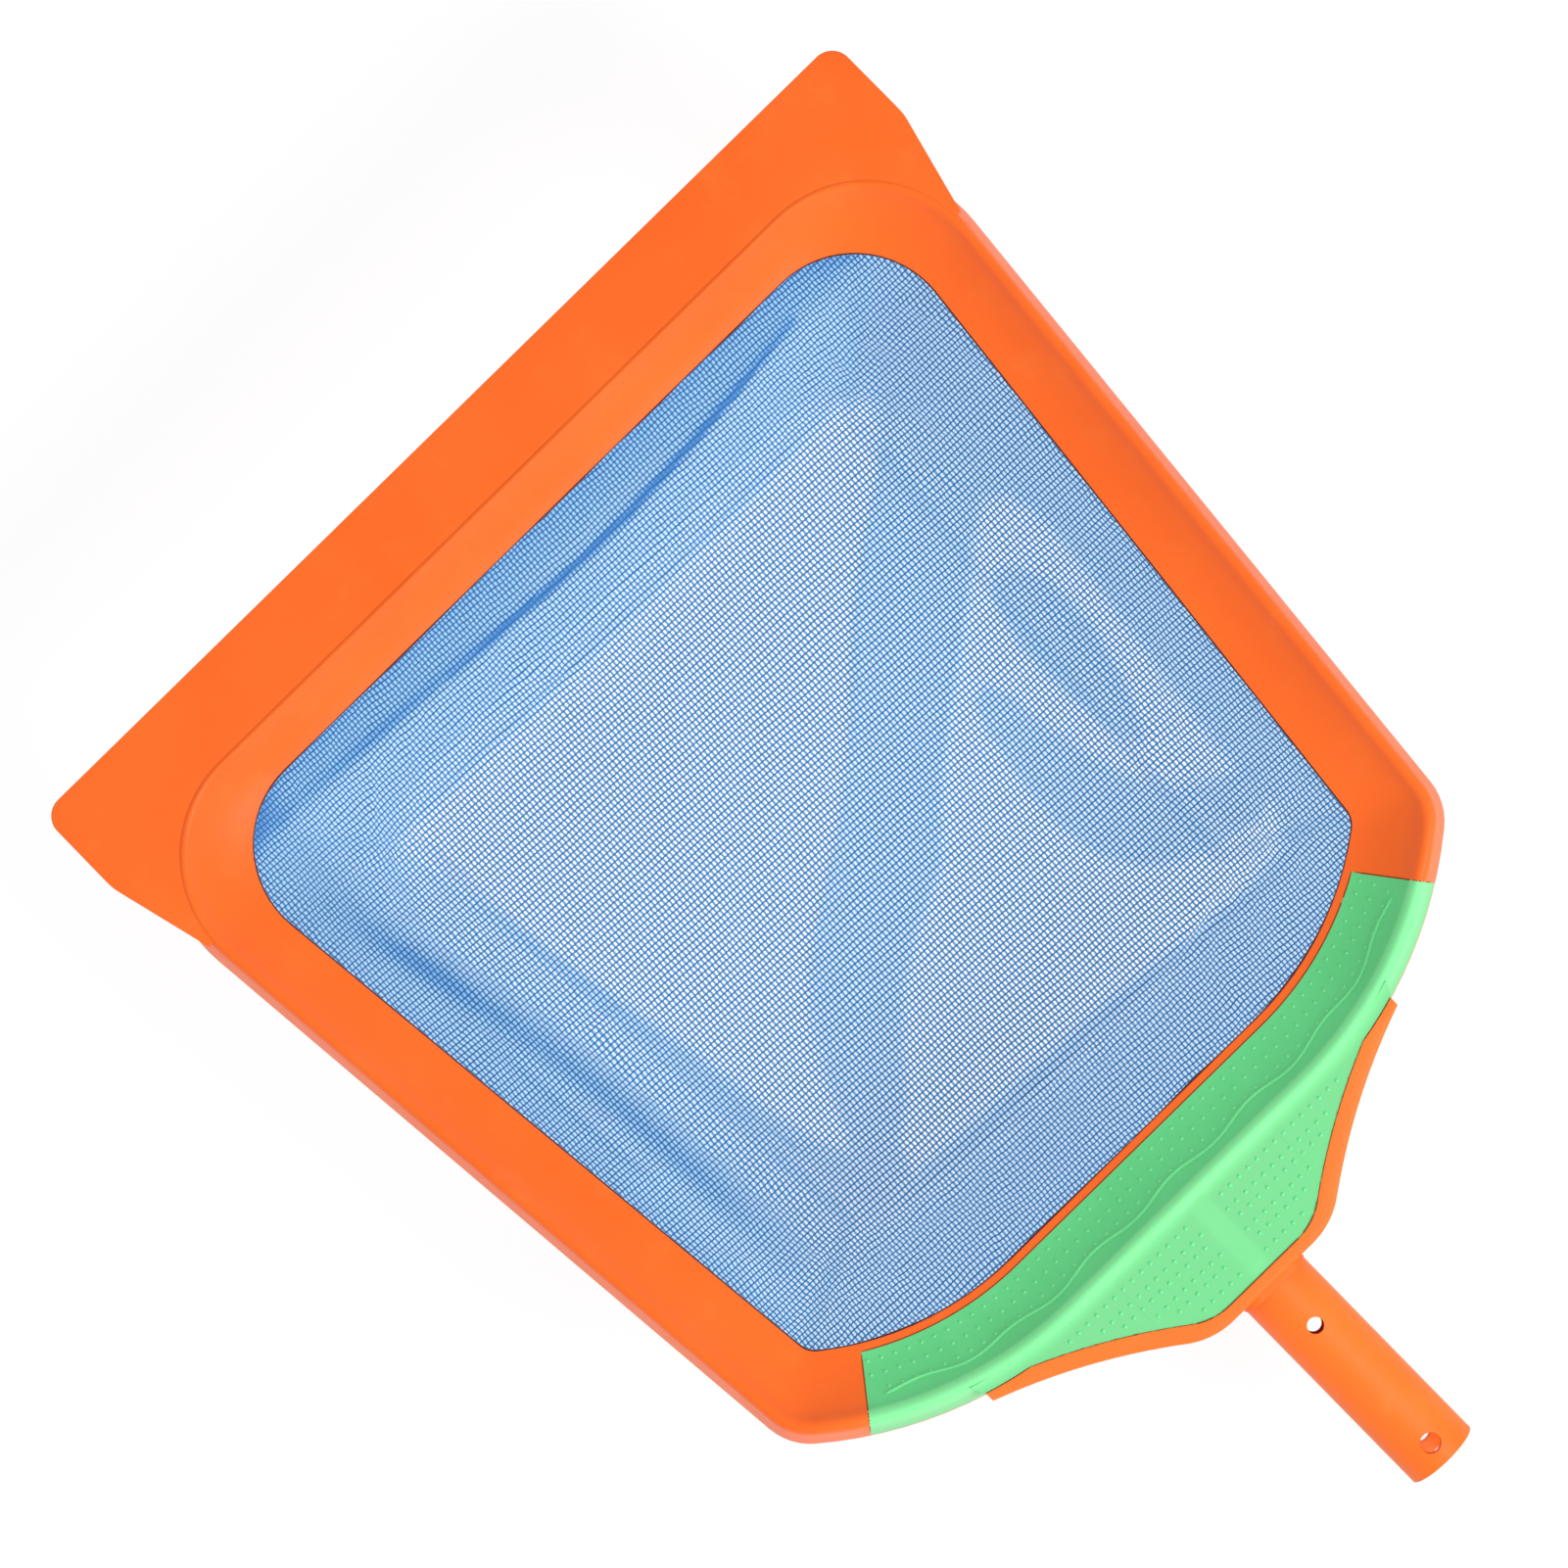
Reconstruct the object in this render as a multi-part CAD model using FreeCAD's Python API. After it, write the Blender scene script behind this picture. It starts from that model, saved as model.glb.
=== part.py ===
import FreeCAD, Part
import math
import os

from FreeCAD import Vector

# Leaf skimmer net for a telescopic pool pole.
# Millimetres. +Z is up, out of the open mouth, and the bag hangs down.
# +Y runs from the pole towards the scoop lip, and X = 0 is the plane of symmetry.
# The origin lies on the axis of the spigot, where the pole's end stops.

# ---------------------------------------------------------------- driving dimensions
CREST_Z = 26.0            # top of the rounded ridge
MOUTH_Z = 8.0             # top of the mouth edge, at the foot of the inner slope
WALL_BOTTOM_Z = 0.0       # lower edge of the outer wall
SHELL_T = 2.4             # thickness of the moulded frame
COVER_T = 1.6             # thickness of the soft cover, let into the frame
COVER_EDGE = 2.8          # orange bead left between the mouth and the cover
COVER_REAR_Z = 14.0       # lower edge of the cover behind the yoke
COVER_SIDE_Z = 1.2        # and beside it
BEAD_T = 2.0              # down-turned bead round the mouth
BEAD_BOTTOM_Z = 5.2       # lower edge of that bead

# The ridge's rounding: shares of the way to the crest, or from it to the foot, and drops
RIDGE_INSIDE = ((0.905, 1.55), (0.94, 0.72), (0.97, 0.2))
RIDGE_OUTSIDE = ((0.0, 0.0), (0.1, 0.12), (0.2, 0.45), (0.29, 1.05), (0.37, 2.0), (0.43, 3.3), (0.47, 4.8))
SLOPE_END = 0.87
SLOPE_STEPS = 7

REFERENCE_Y = 335.4       # where the outlines' half-widths are given

# The frame's plan outlines. Each has a straight rear edge, a large arc and a small
# arc at each rear corner, a straight tapering side and one arc at each front corner.
MOUTH = dict(rear_y=72.0, rear_half=62.0, rear_r=120.0, corner_r=9.0,
             side_x=163.3, taper=6.0, front_y=383.3, front_r=38.0)
CREST = dict(rear_y=44.7, rear_half=58.0, rear_r=155.0, corner_r=20.0,
             side_x=184.9, taper=5.25, front_y=400.0, front_r=46.0)
FOOT = dict(rear_y=35.8, rear_half=55.0, rear_r=164.0, corner_r=23.0,
            side_x=190.6, taper=5.25, front_y=405.5, front_r=50.0)
BAG_FLOOR = dict(rear_y=107.0, rear_half=45.0, rear_r=110.0, corner_r=16.0,
                 side_x=120.0, taper=6.3, front_y=341.0, front_r=26.0)

# Where the soft cover ends on each side, and the larger area with room beneath it, in plan
COVER_ENDS = [(-110.0, 104.6), (-165.0, 33.8), (-165.0, 0.0), (165.0, 0.0), (165.0, 33.8), (110.0, 104.6)]
COVER_BASE = [(-118.0, 112.0), (-175.0, 38.0), (-175.0, 0.0), (175.0, 0.0), (175.0, 38.0), (118.0, 112.0)]

# The cross ribs under the frame
RIB_T = 1.6
RIB_BOTTOM_Z = 9.4
REAR_RIB_BOTTOM_Z = 15.0
RIB_TRACK = 9.0           # the ribs start this far outside the mouth's edge
SIDE_RIBS_Y = (112.0, 183.0, 269.0, 355.0)
FRONT_RIBS_X = (-146.0, -74.0, 0.0, 74.0, 146.0)
REAR_RIBS_X = (-66.0, 0.0, 66.0)

# The scoop lip in front of the ridge
LIP_FRONT_Y = 432.3
LIP_HALF = 200.0
LIP_CORNER_R = 8.0
LIP_SHOULDER_Y = 395.4    # where its straight sides end
LIP_ROOT = (190.0, 356.0)  # where the tapering side runs into the frame
LIP_BEND_R = 20.0
LIP_ROOT_Z = 25.4         # top of the lip beside the ridge
LIP_TIP_Z = 20.4          # top of the lip at its front edge
LIP_BREAK_Y = 403.0       # the lip is level behind this line and slopes in front of it
LIP_ROOT_T = 2.6
LIP_TIP_T = 1.6

# The yoke and its spigot
TILT = 10.0               # the spigot falls this many degrees away from the frame
SPIGOT_R = 14.35          # fits a pole of 31.75 mm outside and 29 mm inside
SPIGOT_BORE_R = 11.4
SPIGOT_LENGTH = 90.4
SPIGOT_BORE_LENGTH = 86.0
BOLT_HOLE_R = 3.15
BOLT_HOLE_Y = -22.2       # plan distance of the upright bolt hole
BUTTON_HOLE_R = 3.95
BUTTON_HOLE_S = 81.2      # along the spigot's axis
PLATE_TOP = 14.6          # above the spigot's axis, square to it
PLATE_T = 2.5
PAD_TOP = 16.6
RIM_TOP = 17.0
RIM_BOTTOM = 5.0
RIM_WIDTH = 5.0
YOKE_TURN = 37.0          # the outline turns up this far at each side of the spigot
HORN_TURN = 21.0          # and back to this towards the horns
YOKE_R = 30.0
HORN_R = 250.0
YOKE_HALF_FLAT = 20.0
PAD_HALF_FLAT = 17.0
HORN_HALF = 102.3
HORN_TIP_Y = 43.5         # its top edges behind this line are rounded
RIM_ROUND = 1.8
YOKE_WEB_X = (-56.0, -34.0, 34.0, 56.0)
ROOT_HALF = 14.7          # the square root of the spigot, under the plate
ROOT_ROUND = 8.0
ROOT_END_Y = 45.0         # past the frame's rear wall, which trims it
FIT_GAP = 0.25            # between the yoke and the frame's rear wall
SEAT_Z = 7.2              # the yoke's front face leans with the wall up to here and is upright above
SEAT_INSET = 1.6          # where the wall's surface is at that height, inside its foot
BANK_FADE = 6.0           # past the horns, the bank of the cover fades out over this length
FLANGE_T = 3.0
FLANGE_HALF = 56.0
FLANGE_BOTTOM = -4.0

# The sewn bag and what holds it
NET_T = 0.9
BAG_TOP_Z = 5.0
BAG_FLOOR_Z = -80.0
BAG_INSET = 0.8           # the net's inner face, outside the mouth's edge
SEAM_GAP = 0.5
BINDING_W = 9.0
BINDING_T = 0.8
RING_INNER = 2.8          # the retainer ring, outside the mouth's edge
RING_OUTER = 15.0
RING_Z = (2.6, 5.0)
HEM_SPAN = (3.0, 8.2)
HEM_Z = (5.15, 5.85)
HEM_CORD_R = 0.95
HEM_CORD_OFFSET = 6.8
HEM_CORD_Z = 6.95

# Screws
SCREW_OFFSET = 12.0       # outside the mouth's edge
FRONT_SCREWS_X = (-110.0, -37.0, 37.0, 110.0)
SIDE_SCREWS_Y = (140.0, 226.0, 312.0)
REAR_SCREWS_X = (-46.0, 46.0)
RING_SCREW_LENGTH = 9.0
BOSS_R = 3.3
PILOT_R = 1.35
PILOT_TOP_Z = 12.4
SHANK_R = 1.25
HEAD_R = 2.7
HEAD_H = 1.8
HEAD_ROUND = 0.7
YOKE_SCREW_X = (24.0, 44.0)
YOKE_SCREW_Z = 8.6
YOKE_SCREW_SEAT = 6.4      # inside the wall's foot
YOKE_SCREW_LENGTH = 16.0
YOKE_BOSS_Y = 22.0        # the free ends of the yoke's screw bosses

UP = Vector(0, 0, 1)
LEAN = Vector(0, math.tan(math.radians(TILT)), 1)   # upright once the yoke is tilted
FAR = 900.0


# ---------------------------------------------------------------- outlines
def blend(a, b, t):
    """The outline a share t of the way from a to b."""
    return {k: a[k] + (b[k] - a[k]) * t for k in a}


def grown(o, d):
    """The outline moved outwards by d."""
    g = dict(o)
    g["rear_y"] -= d
    g["rear_r"] += d
    g["corner_r"] += d
    g["side_x"] += d / math.cos(math.radians(o["taper"]))
    g["front_y"] += d
    g["front_r"] += d
    return g


def half_points(o):
    """Joints and mid-points down the right-hand half of an outline, from rear to front."""
    a = math.radians(o["taper"])
    along = Vector(math.sin(a), math.cos(a), 0)
    inward = Vector(-math.cos(a), math.sin(a), 0)
    side = Vector(o["side_x"], REFERENCE_Y, 0)
    rear_centre = Vector(o["rear_half"], o["rear_y"] + o["rear_r"], 0)

    line = side + inward * o["corner_r"]
    off = line - rear_centre
    reach = o["rear_r"] - o["corner_r"]
    b = off.dot(along)
    step = -b - math.sqrt(b * b - off.dot(off) + reach * reach)
    corner_centre = line + along * step
    outward = (corner_centre - rear_centre).normalize()

    line = side + inward * o["front_r"]
    step = (o["front_y"] - o["front_r"] - line.y) / along.y
    front_centre = line + along * step

    def mid(centre, r, u, v):
        return centre + (u + v).normalize() * r

    down = Vector(0, -1, 0)
    right = inward * -1
    return dict(
        rear=Vector(o["rear_half"], o["rear_y"], 0),
        rear_mid=mid(rear_centre, o["rear_r"], down, outward),
        join=rear_centre + outward * o["rear_r"],
        corner_mid=mid(corner_centre, o["corner_r"], outward, right),
        side_rear=corner_centre + right * o["corner_r"],
        side_front=front_centre + right * o["front_r"],
        front_mid=mid(front_centre, o["front_r"], right, Vector(0, 1, 0)),
        front=front_centre + Vector(0, o["front_r"], 0),
    )


def ring(o, z):
    """The closed wire of an outline at height z: ten edges, always in the same order."""
    p = {k: Vector(v.x, v.y, z) for k, v in half_points(o).items()}
    q = {k: Vector(-v.x, v.y, z) for k, v in p.items()}
    edges = [
        Part.LineSegment(q["rear"], p["rear"]),
        Part.Arc(p["rear"], p["rear_mid"], p["join"]),
        Part.Arc(p["join"], p["corner_mid"], p["side_rear"]),
        Part.LineSegment(p["side_rear"], p["side_front"]),
        Part.Arc(p["side_front"], p["front_mid"], p["front"]),
        Part.LineSegment(p["front"], q["front"]),
        Part.Arc(q["front"], q["front_mid"], q["side_front"]),
        Part.LineSegment(q["side_front"], q["side_rear"]),
        Part.Arc(q["side_rear"], q["corner_mid"], q["join"]),
        Part.Arc(q["join"], q["rear_mid"], q["rear"]),
    ]
    return Part.Wire([e.toShape() for e in edges])


def prism(o, low, high):
    """The solid inside an outline, from height low to height high."""
    return Part.Face(ring(o, low)).extrude(UP * (high - low))


def band(inner, outer, low, high):
    """The flat ring between two outlines."""
    return prism(outer, low, high).cut(prism(inner, low - 1, high + 1))


def block(x0, x1, y0, y1, z0, z1):
    return Part.makeBox(x1 - x0, y1 - y0, z1 - z0, Vector(x0, y0, z0))


def plan_prism(points, low, high):
    """The solid over a polygon in plan."""
    corners = [Vector(x, y, low) for x, y in points]
    return Part.Face(Part.makePolygon(corners + corners[:1])).extrude(UP * (high - low))


# ---------------------------------------------------------------- the frame's profile
def slope_height(t):
    """Height of the hollow inner slope, from the mouth, t = 0, to the ridge, t = 1."""
    return MOUTH_Z + (CREST_Z - MOUTH_Z) * (0.45 * t + 0.55 * t * t)


def skin(inset, mouth_grow):
    """Rings up the inner slope, over the ridge and down to the shoulder, inset by a thickness."""
    mouth = grown(MOUTH, mouth_grow)
    crest = grown(CREST, -0.2 * inset)
    foot = grown(FOOT, -inset)
    rings = []
    for step in range(SLOPE_STEPS + 1):
        t = SLOPE_END * step / SLOPE_STEPS
        rings.append(ring(blend(mouth, crest, t), slope_height(t) - inset))
    for t, drop in RIDGE_INSIDE:
        rings.append(ring(blend(mouth, crest, t), CREST_Z - drop - inset))
    for s, drop in RIDGE_OUTSIDE:
        rings.append(ring(blend(crest, foot, s), CREST_Z - drop - inset))
    return rings


def hat(inset=0.0, mouth_grow=0.0, bottom=WALL_BOTTOM_Z):
    """The frame as if solid: everything under its skin and outside its mouth, down to bottom."""
    rings = skin(inset, mouth_grow)
    low_mouth = ring(grown(MOUTH, mouth_grow), bottom)
    low_foot = ring(grown(FOOT, -inset), bottom)
    top = Part.makeLoft(rings, False, True)
    wall = Part.makeLoft([rings[-1], low_foot], False, True)
    throat = Part.makeLoft([low_mouth, rings[0]], False, True)
    base = Part.Face([low_foot, low_mouth])
    shell = Part.makeShell(top.Faces + wall.Faces + throat.Faces + [base])
    shell.sewShape()
    solid = Part.Solid(shell)
    solid.fix(1e-4, 1e-4, 1e-3)
    return solid


def wall_outside(gap):
    """Everything inside the frame's outer wall moved outwards by gap, for trimming the yoke.

    It follows the leaning wall up to SEAT_Z and stands upright above that.
    """
    foot = grown(FOOT, gap)
    share, drop = RIDGE_OUTSIDE[-1]
    shoulder = ring(blend(grown(CREST, gap), foot, share), CREST_Z - drop)
    leaning = Part.makeLoft([ring(foot, WALL_BOTTOM_Z), shoulder], True, True)
    below = prism(foot, WALL_BOTTOM_Z - 60, WALL_BOTTOM_Z)
    above = prism(grown(foot, -SEAT_INSET), SEAT_Z, CREST_Z + 60)
    return leaning.fuse(below).fuse(above)


# ---------------------------------------------------------------- screw places
def outline_point(o, x_sign, y):
    """The point of an outline's tapering side at y, on the left (-1) or the right (1)."""
    x = o["side_x"] + (y - REFERENCE_Y) * math.tan(math.radians(o["taper"]))
    return Vector(x_sign * x, y, 0)


def retainer_screw_points():
    """Plan positions of the screws round the retainer ring."""
    track = grown(MOUTH, SCREW_OFFSET)
    points = [Vector(x, track["front_y"], 0) for x in FRONT_SCREWS_X]
    points += [Vector(x, track["rear_y"], 0) for x in REAR_SCREWS_X]
    for x_sign in (-1, 1):
        points += [outline_point(track, x_sign, y) for y in SIDE_SCREWS_Y]
        corner = half_points(track)["rear_mid"]
        points.append(Vector(x_sign * corner.x, corner.y, 0))
    return points


def yoke_screw_points():
    """The seats, inside the frame's rear wall, of the screws that hold the yoke."""
    seat_y = FOOT["rear_y"] + YOKE_SCREW_SEAT
    return [Vector(x_sign * x, seat_y, YOKE_SCREW_Z) for x in YOKE_SCREW_X for x_sign in (-1, 1)]


# ---------------------------------------------------------------- the moulded frame
def stiffeners():
    """Cross ribs between the inner slope and the outer wall, above the hem's groove."""
    track = grown(MOUTH, RIB_TRACK)
    half = RIB_T / 2
    plates = []
    for y in SIDE_RIBS_Y:
        root = outline_point(track, 1, y).x
        tip = outline_point(grown(FOOT, RIB_T), 1, y).x
        plates.append(block(root, tip, y - half, y + half, RIB_BOTTOM_Z, CREST_Z))
        plates.append(block(-tip, -root, y - half, y + half, RIB_BOTTOM_Z, CREST_Z))
    for x in FRONT_RIBS_X:
        plates.append(block(x - half, x + half, track["front_y"], FOOT["front_y"], RIB_BOTTOM_Z, CREST_Z))
    for x in REAR_RIBS_X:
        front = track["rear_y"] + 2
        plates.append(block(x - half, x + half, FOOT["rear_y"], front, REAR_RIB_BOTTOM_Z, CREST_Z))
    return plates


def bosses():
    """Posts that hold the retainer's screws, and the seats under the yoke's screw heads."""
    low = RING_Z[1]
    posts = [
        Part.makeCylinder(BOSS_R, CREST_Z - low, Vector(p.x, p.y, low), UP)
        for p in retainer_screw_points()
    ]
    seats = [
        Part.makeCylinder(HEAD_R + 0.8, YOKE_SCREW_SEAT, p, Vector(0, -1, 0))
        for p in yoke_screw_points()
    ]
    return posts + seats


def lip():
    """The thin scoop lip, level beside the ridge and sloping to its front edge."""
    root_x, root_y = LIP_ROOT
    corners = [
        Vector(root_x, root_y, 0),
        Vector(LIP_HALF, LIP_SHOULDER_Y, 0),
        Vector(LIP_HALF, LIP_FRONT_Y, 0),
    ]
    bend = rounded(corners[0], corners[1], corners[2], LIP_BEND_R)
    tip = rounded(corners[1], corners[2], Vector(0, LIP_FRONT_Y, 0), LIP_CORNER_R)
    run = [Vector(0, root_y, 0), corners[0], bend, tip]
    plan = mirrored_face(run, Vector(0, LIP_FRONT_Y, 0)).extrude(UP * CREST_Z * 2)
    side = [
        (root_y - 5, LIP_ROOT_Z),
        (LIP_BREAK_Y, LIP_ROOT_Z),
        (LIP_FRONT_Y + 1, LIP_TIP_Z),
        (LIP_FRONT_Y + 1, LIP_TIP_Z - LIP_TIP_T),
        (LIP_BREAK_Y, LIP_ROOT_Z - LIP_ROOT_T),
        (root_y - 5, LIP_ROOT_Z - LIP_ROOT_T),
    ]
    wire = [Vector(-LIP_HALF - 5, y, z) for y, z in side]
    wedge = Part.Face(Part.makePolygon(wire + wire[:1])).extrude(Vector(2 * LIP_HALF + 10, 0, 0))
    return plan.common(wedge).cut(prism(CREST, -1, CREST_Z * 2))


def rounded(a, corner, b, r):
    """The arc of radius r that rounds a corner between two straight lines: start, middle, end."""
    u = (a - corner).normalize()
    v = (b - corner).normalize()
    half = u.getAngle(v) / 2
    reach = r / math.tan(half)
    bisector = (u + v).normalize()
    centre = corner + bisector * (r / math.sin(half))
    return corner + u * reach, centre - bisector * r, corner + v * reach


def mirrored_face(run, last):
    """A face symmetric about X = 0, from its right-hand outline: points, and arcs as triples."""
    edges = []
    at = run[0]
    for item in run[1:] + [last]:
        start = item[0] if isinstance(item, tuple) else item
        if (start - at).Length > 1e-6:
            edges.append(Part.LineSegment(at, start).toShape())
        at = start
        if isinstance(item, tuple):
            edges.append(Part.Arc(*item).toShape())
            at = item[2]
    half = Part.Wire(edges)
    other = half.mirror(Vector(0, 0, 0), Vector(1, 0, 0))
    wire = Part.Wire(Part.__sortEdges__(half.Edges + other.Edges))
    return Part.Face(wire)


def cover_zone():
    """The part of the frame's skin that the soft cover replaces."""
    ends = plan_prism(COVER_ENDS, COVER_SIDE_Z, CREST_Z + 5)
    edge = prism(grown(MOUTH, COVER_EDGE), -1, CREST_Z + 5)
    yoke_seat = block(-HORN_HALF + 1.5, HORN_HALF - 1.5, 0, CREST["rear_y"] + 8, 0, COVER_REAR_Z)
    return ends.cut(edge).cut(yoke_seat)


def frame_layers():
    """The moulded frame, and the soft layer that is let into its rear arch."""
    full = hat()
    cavity = hat(SHELL_T, BEAD_T, WALL_BOTTOM_Z - 2)
    rear_cavity = hat(COVER_T + SHELL_T, BEAD_T, WALL_BOTTOM_Z - 2)
    zone = cover_zone()
    soft = full.cut(hat(COVER_T, 0.0, WALL_BOTTOM_Z - 2)).common(zone)
    rear = plan_prism(COVER_BASE, WALL_BOTTOM_Z - 3, CREST_Z + 5)
    hollow = cavity.cut(rear).fuse(rear_cavity.common(rear))
    for extra in stiffeners() + bosses():
        hollow = hollow.cut(extra)
    shell = full.cut(hollow).cut(soft)
    shell = shell.cut(prism(grown(MOUTH, RING_OUTER + 1), WALL_BOTTOM_Z - 1, BEAD_BOTTOM_Z - 0.2))
    shell = shell.cut(prism(grown(MOUTH, BEAD_T), WALL_BOTTOM_Z - 1, BEAD_BOTTOM_Z))
    return shell, soft


def frame_shell(shell):
    """The shell with its lip, drilled for both sets of screws."""
    shell = shell.fuse(lip().cut(hat(1.0, 0.0, WALL_BOTTOM_Z - 2)))
    for p in retainer_screw_points():
        shell = shell.cut(Part.makeCylinder(PILOT_R, PILOT_TOP_Z, Vector(p.x, p.y, 0), UP))
    for p in yoke_screw_points():
        hole = Part.makeCylinder(PILOT_R + 0.25, 20, Vector(p.x, p.y + 10, p.z), Vector(0, -1, 0))
        shell = shell.cut(hole)
    return shell


# ---------------------------------------------------------------- yoke and cover pad
# Both are built level, with the spigot along -Y, and then tilted about the origin.
def tilted(shape):
    """A level shape turned so that the spigot falls away from the frame."""
    turned = shape.copy()
    turned.rotate(Vector(0, 0, 0), Vector(1, 0, 0), TILT)
    return turned


def yoke_plan(inset, half_flat, reach):
    """The face behind the frame: flat behind the spigot, then up and out to the horns.

    inset moves its rear edge inwards, and reach is half its width. Its front edge lies
    inside the frame.
    """
    first_r = YOKE_R - inset
    second_r = HORN_R + inset
    up, back = math.radians(YOKE_TURN), math.radians(HORN_TURN)

    def heading(angle):
        return Vector(math.sin(angle), -math.cos(angle), 0)

    centre = Vector(half_flat, inset + first_r, 0)
    turn = centre + heading(up) * first_r
    hollow = turn + heading(up) * second_r
    middle = hollow - heading((up + back) / 2) * second_r
    flare = hollow - heading(back) * second_r
    tip = flare + Vector(1, math.tan(back), 0) * (reach - flare.x)
    front_y = tip.y + 30
    run = [
        Vector(0, inset, 0),
        (centre + heading(0) * first_r, centre + heading(up / 2) * first_r, turn),
        (turn, middle, flare),
        tip,
        Vector(reach, front_y, 0),
    ]
    return mirrored_face(run, Vector(0, front_y, 0))


def level_slab(face, low, high):
    """The solid over a face, from height low to height high, whose walls stand upright once tilted."""
    slab = face.extrude(LEAN * (high - low))
    slab.translate(LEAN * low)
    return slab


def eased(slab, high, r):
    """A slab with its top edge rounded, apart from its straight front edge and sides."""
    edges = [
        e for e in slab.Edges
        if abs(e.BoundBox.ZMin - high) < 1e-4 and e.BoundBox.YMin < HORN_TIP_Y
    ]
    return slab.makeFillet(r, edges)


def spigot_root():
    """The square root of the spigot, whose corners stop the pole.

    Its top shows as a narrow collar behind the rim, and the rest runs forward under the plate.
    """
    root = block(-ROOT_HALF, ROOT_HALF, 0, ROOT_END_Y, -ROOT_HALF, ROOT_HALF)
    root = root.makeFillet(ROOT_ROUND, [e for e in root.Edges if abs(e.BoundBox.YLength - ROOT_END_Y) < 1e-4])
    above_plate = block(-FAR, FAR, RIM_WIDTH, FAR, PLATE_TOP - 0.5, FAR)
    return root.cut(above_plate)


def handle_yoke():
    """Plate, rim, flange, webs, screw bosses and the hollow spigot, in one moulding."""
    along = Vector(0, -1, 0)
    outer = yoke_plan(0.0, YOKE_HALF_FLAT, HORN_HALF)
    inner = yoke_plan(RIM_WIDTH, PAD_HALF_FLAT, HORN_HALF + 5)
    body = eased(level_slab(outer, RIM_BOTTOM, RIM_TOP), RIM_TOP, RIM_ROUND)
    body = body.cut(level_slab(inner, PLATE_TOP, RIM_TOP + 1))
    body = body.cut(level_slab(inner, RIM_BOTTOM - 1, PLATE_TOP - PLATE_T))
    body = body.fuse(Part.makeCylinder(SPIGOT_R, SPIGOT_LENGTH + 5, Vector(0, 5, 0), along))
    body = body.fuse(spigot_root())
    webs = [block(x - 1, x + 1, 2, 60, RIM_BOTTOM, PLATE_TOP - 0.5) for x in YOKE_WEB_X]
    body = body.fuse(Part.makeCompound(webs).common(level_slab(outer, RIM_BOTTOM, PLATE_TOP)))
    skirt = level_slab(outer, FLANGE_BOTTOM, PLATE_TOP - 0.5)
    skirt = skirt.common(block(-FLANGE_HALF, FLANGE_HALF, 20, 90, FLANGE_BOTTOM - 1, PLATE_TOP))
    body = tilted(body).fuse(tilted(skirt).common(wall_outside(FIT_GAP + FLANGE_T)))
    for p in yoke_screw_points():
        post = Part.makeCylinder(BOSS_R + 0.3, p.y - YOKE_BOSS_Y, p, along)
        body = body.fuse(post)
    return drilled(body.cut(wall_outside(FIT_GAP)))


def drilled(body):
    """The yoke with its spigot's bore, bolt hole, button holes and screw holes."""
    along = Vector(0, -1, 0)
    inner_end = Vector(0, SPIGOT_BORE_LENGTH - SPIGOT_LENGTH, 0)
    bore = tilted(Part.makeCylinder(SPIGOT_BORE_R, SPIGOT_BORE_LENGTH + 5, inner_end, along))
    body = body.cut(bore)
    body = body.cut(Part.makeCylinder(BOLT_HOLE_R, 80, Vector(0, BOLT_HOLE_Y, -40), UP))
    button = Part.makeCylinder(BUTTON_HOLE_R, 60, Vector(0, -BUTTON_HOLE_S, -30), UP)
    body = body.cut(tilted(button))
    for p in yoke_screw_points():
        body = body.cut(Part.makeCylinder(PILOT_R, YOKE_SCREW_LENGTH, p, along))
    return body


def grip_cover(soft):
    """The soft cover: its layer over the frame's rear arch and its pad on the yoke.

    Between the two a bank fills the wedge over the frame's leaning wall, out to the horns.
    """
    pad = level_slab(yoke_plan(RIM_WIDTH, PAD_HALF_FLAT, HORN_HALF - 6), PLATE_TOP, PAD_TOP)
    bank = tilted(level_slab(yoke_plan(0.0, YOKE_HALF_FLAT, HORN_HALF + BANK_FADE), 0, PAD_TOP))
    bank = bank.common(prism(grown(FOOT, -SEAT_INSET), COVER_REAR_Z, CREST_Z))
    front = CREST["rear_y"] + 2 * BANK_FADE
    fade = [(-HORN_HALF, 0), (HORN_HALF, 0), (HORN_HALF, HORN_TIP_Y), (HORN_HALF + BANK_FADE, front)]
    fade += [(-HORN_HALF - BANK_FADE, front), (-HORN_HALF, HORN_TIP_Y)]
    bank = bank.common(plan_prism(fade, 0, CREST_Z))
    inside_ridge = prism(grown(CREST, 2.0), WALL_BOTTOM_Z - 30, CREST_Z + 30)
    filled = tilted(pad).fuse(bank).cut(hat(0.4, 0.0, WALL_BOTTOM_Z - 30))
    return filled.cut(inside_ridge).fuse(soft)


# ---------------------------------------------------------------- the bag and its fixings
def bag_skin(d):
    """The bag's outline solid, moved outwards by d, from its top edge to its floor."""
    top = ring(grown(MOUTH, BAG_INSET + NET_T + d), BAG_TOP_Z)
    floor = ring(grown(BAG_FLOOR, d), BAG_FLOOR_Z - d)
    return Part.makeLoft([top, floor], True, True)


def bag_shell(inner, outer):
    """The layer of the bag between two distances outside the net's outer face."""
    return bag_skin(outer).cut(bag_skin(inner))


def seam_line(x_sign):
    """A side seam in plan: from the mouth's front corner, along the floor, to the rear corner."""
    mouth = half_points(grown(MOUTH, BAG_INSET))
    floor = half_points(BAG_FLOOR)
    points = [mouth["front_mid"], floor["front_mid"], floor["join"], mouth["join"]]
    return [(x_sign * p.x, p.y) for p in points]


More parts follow.
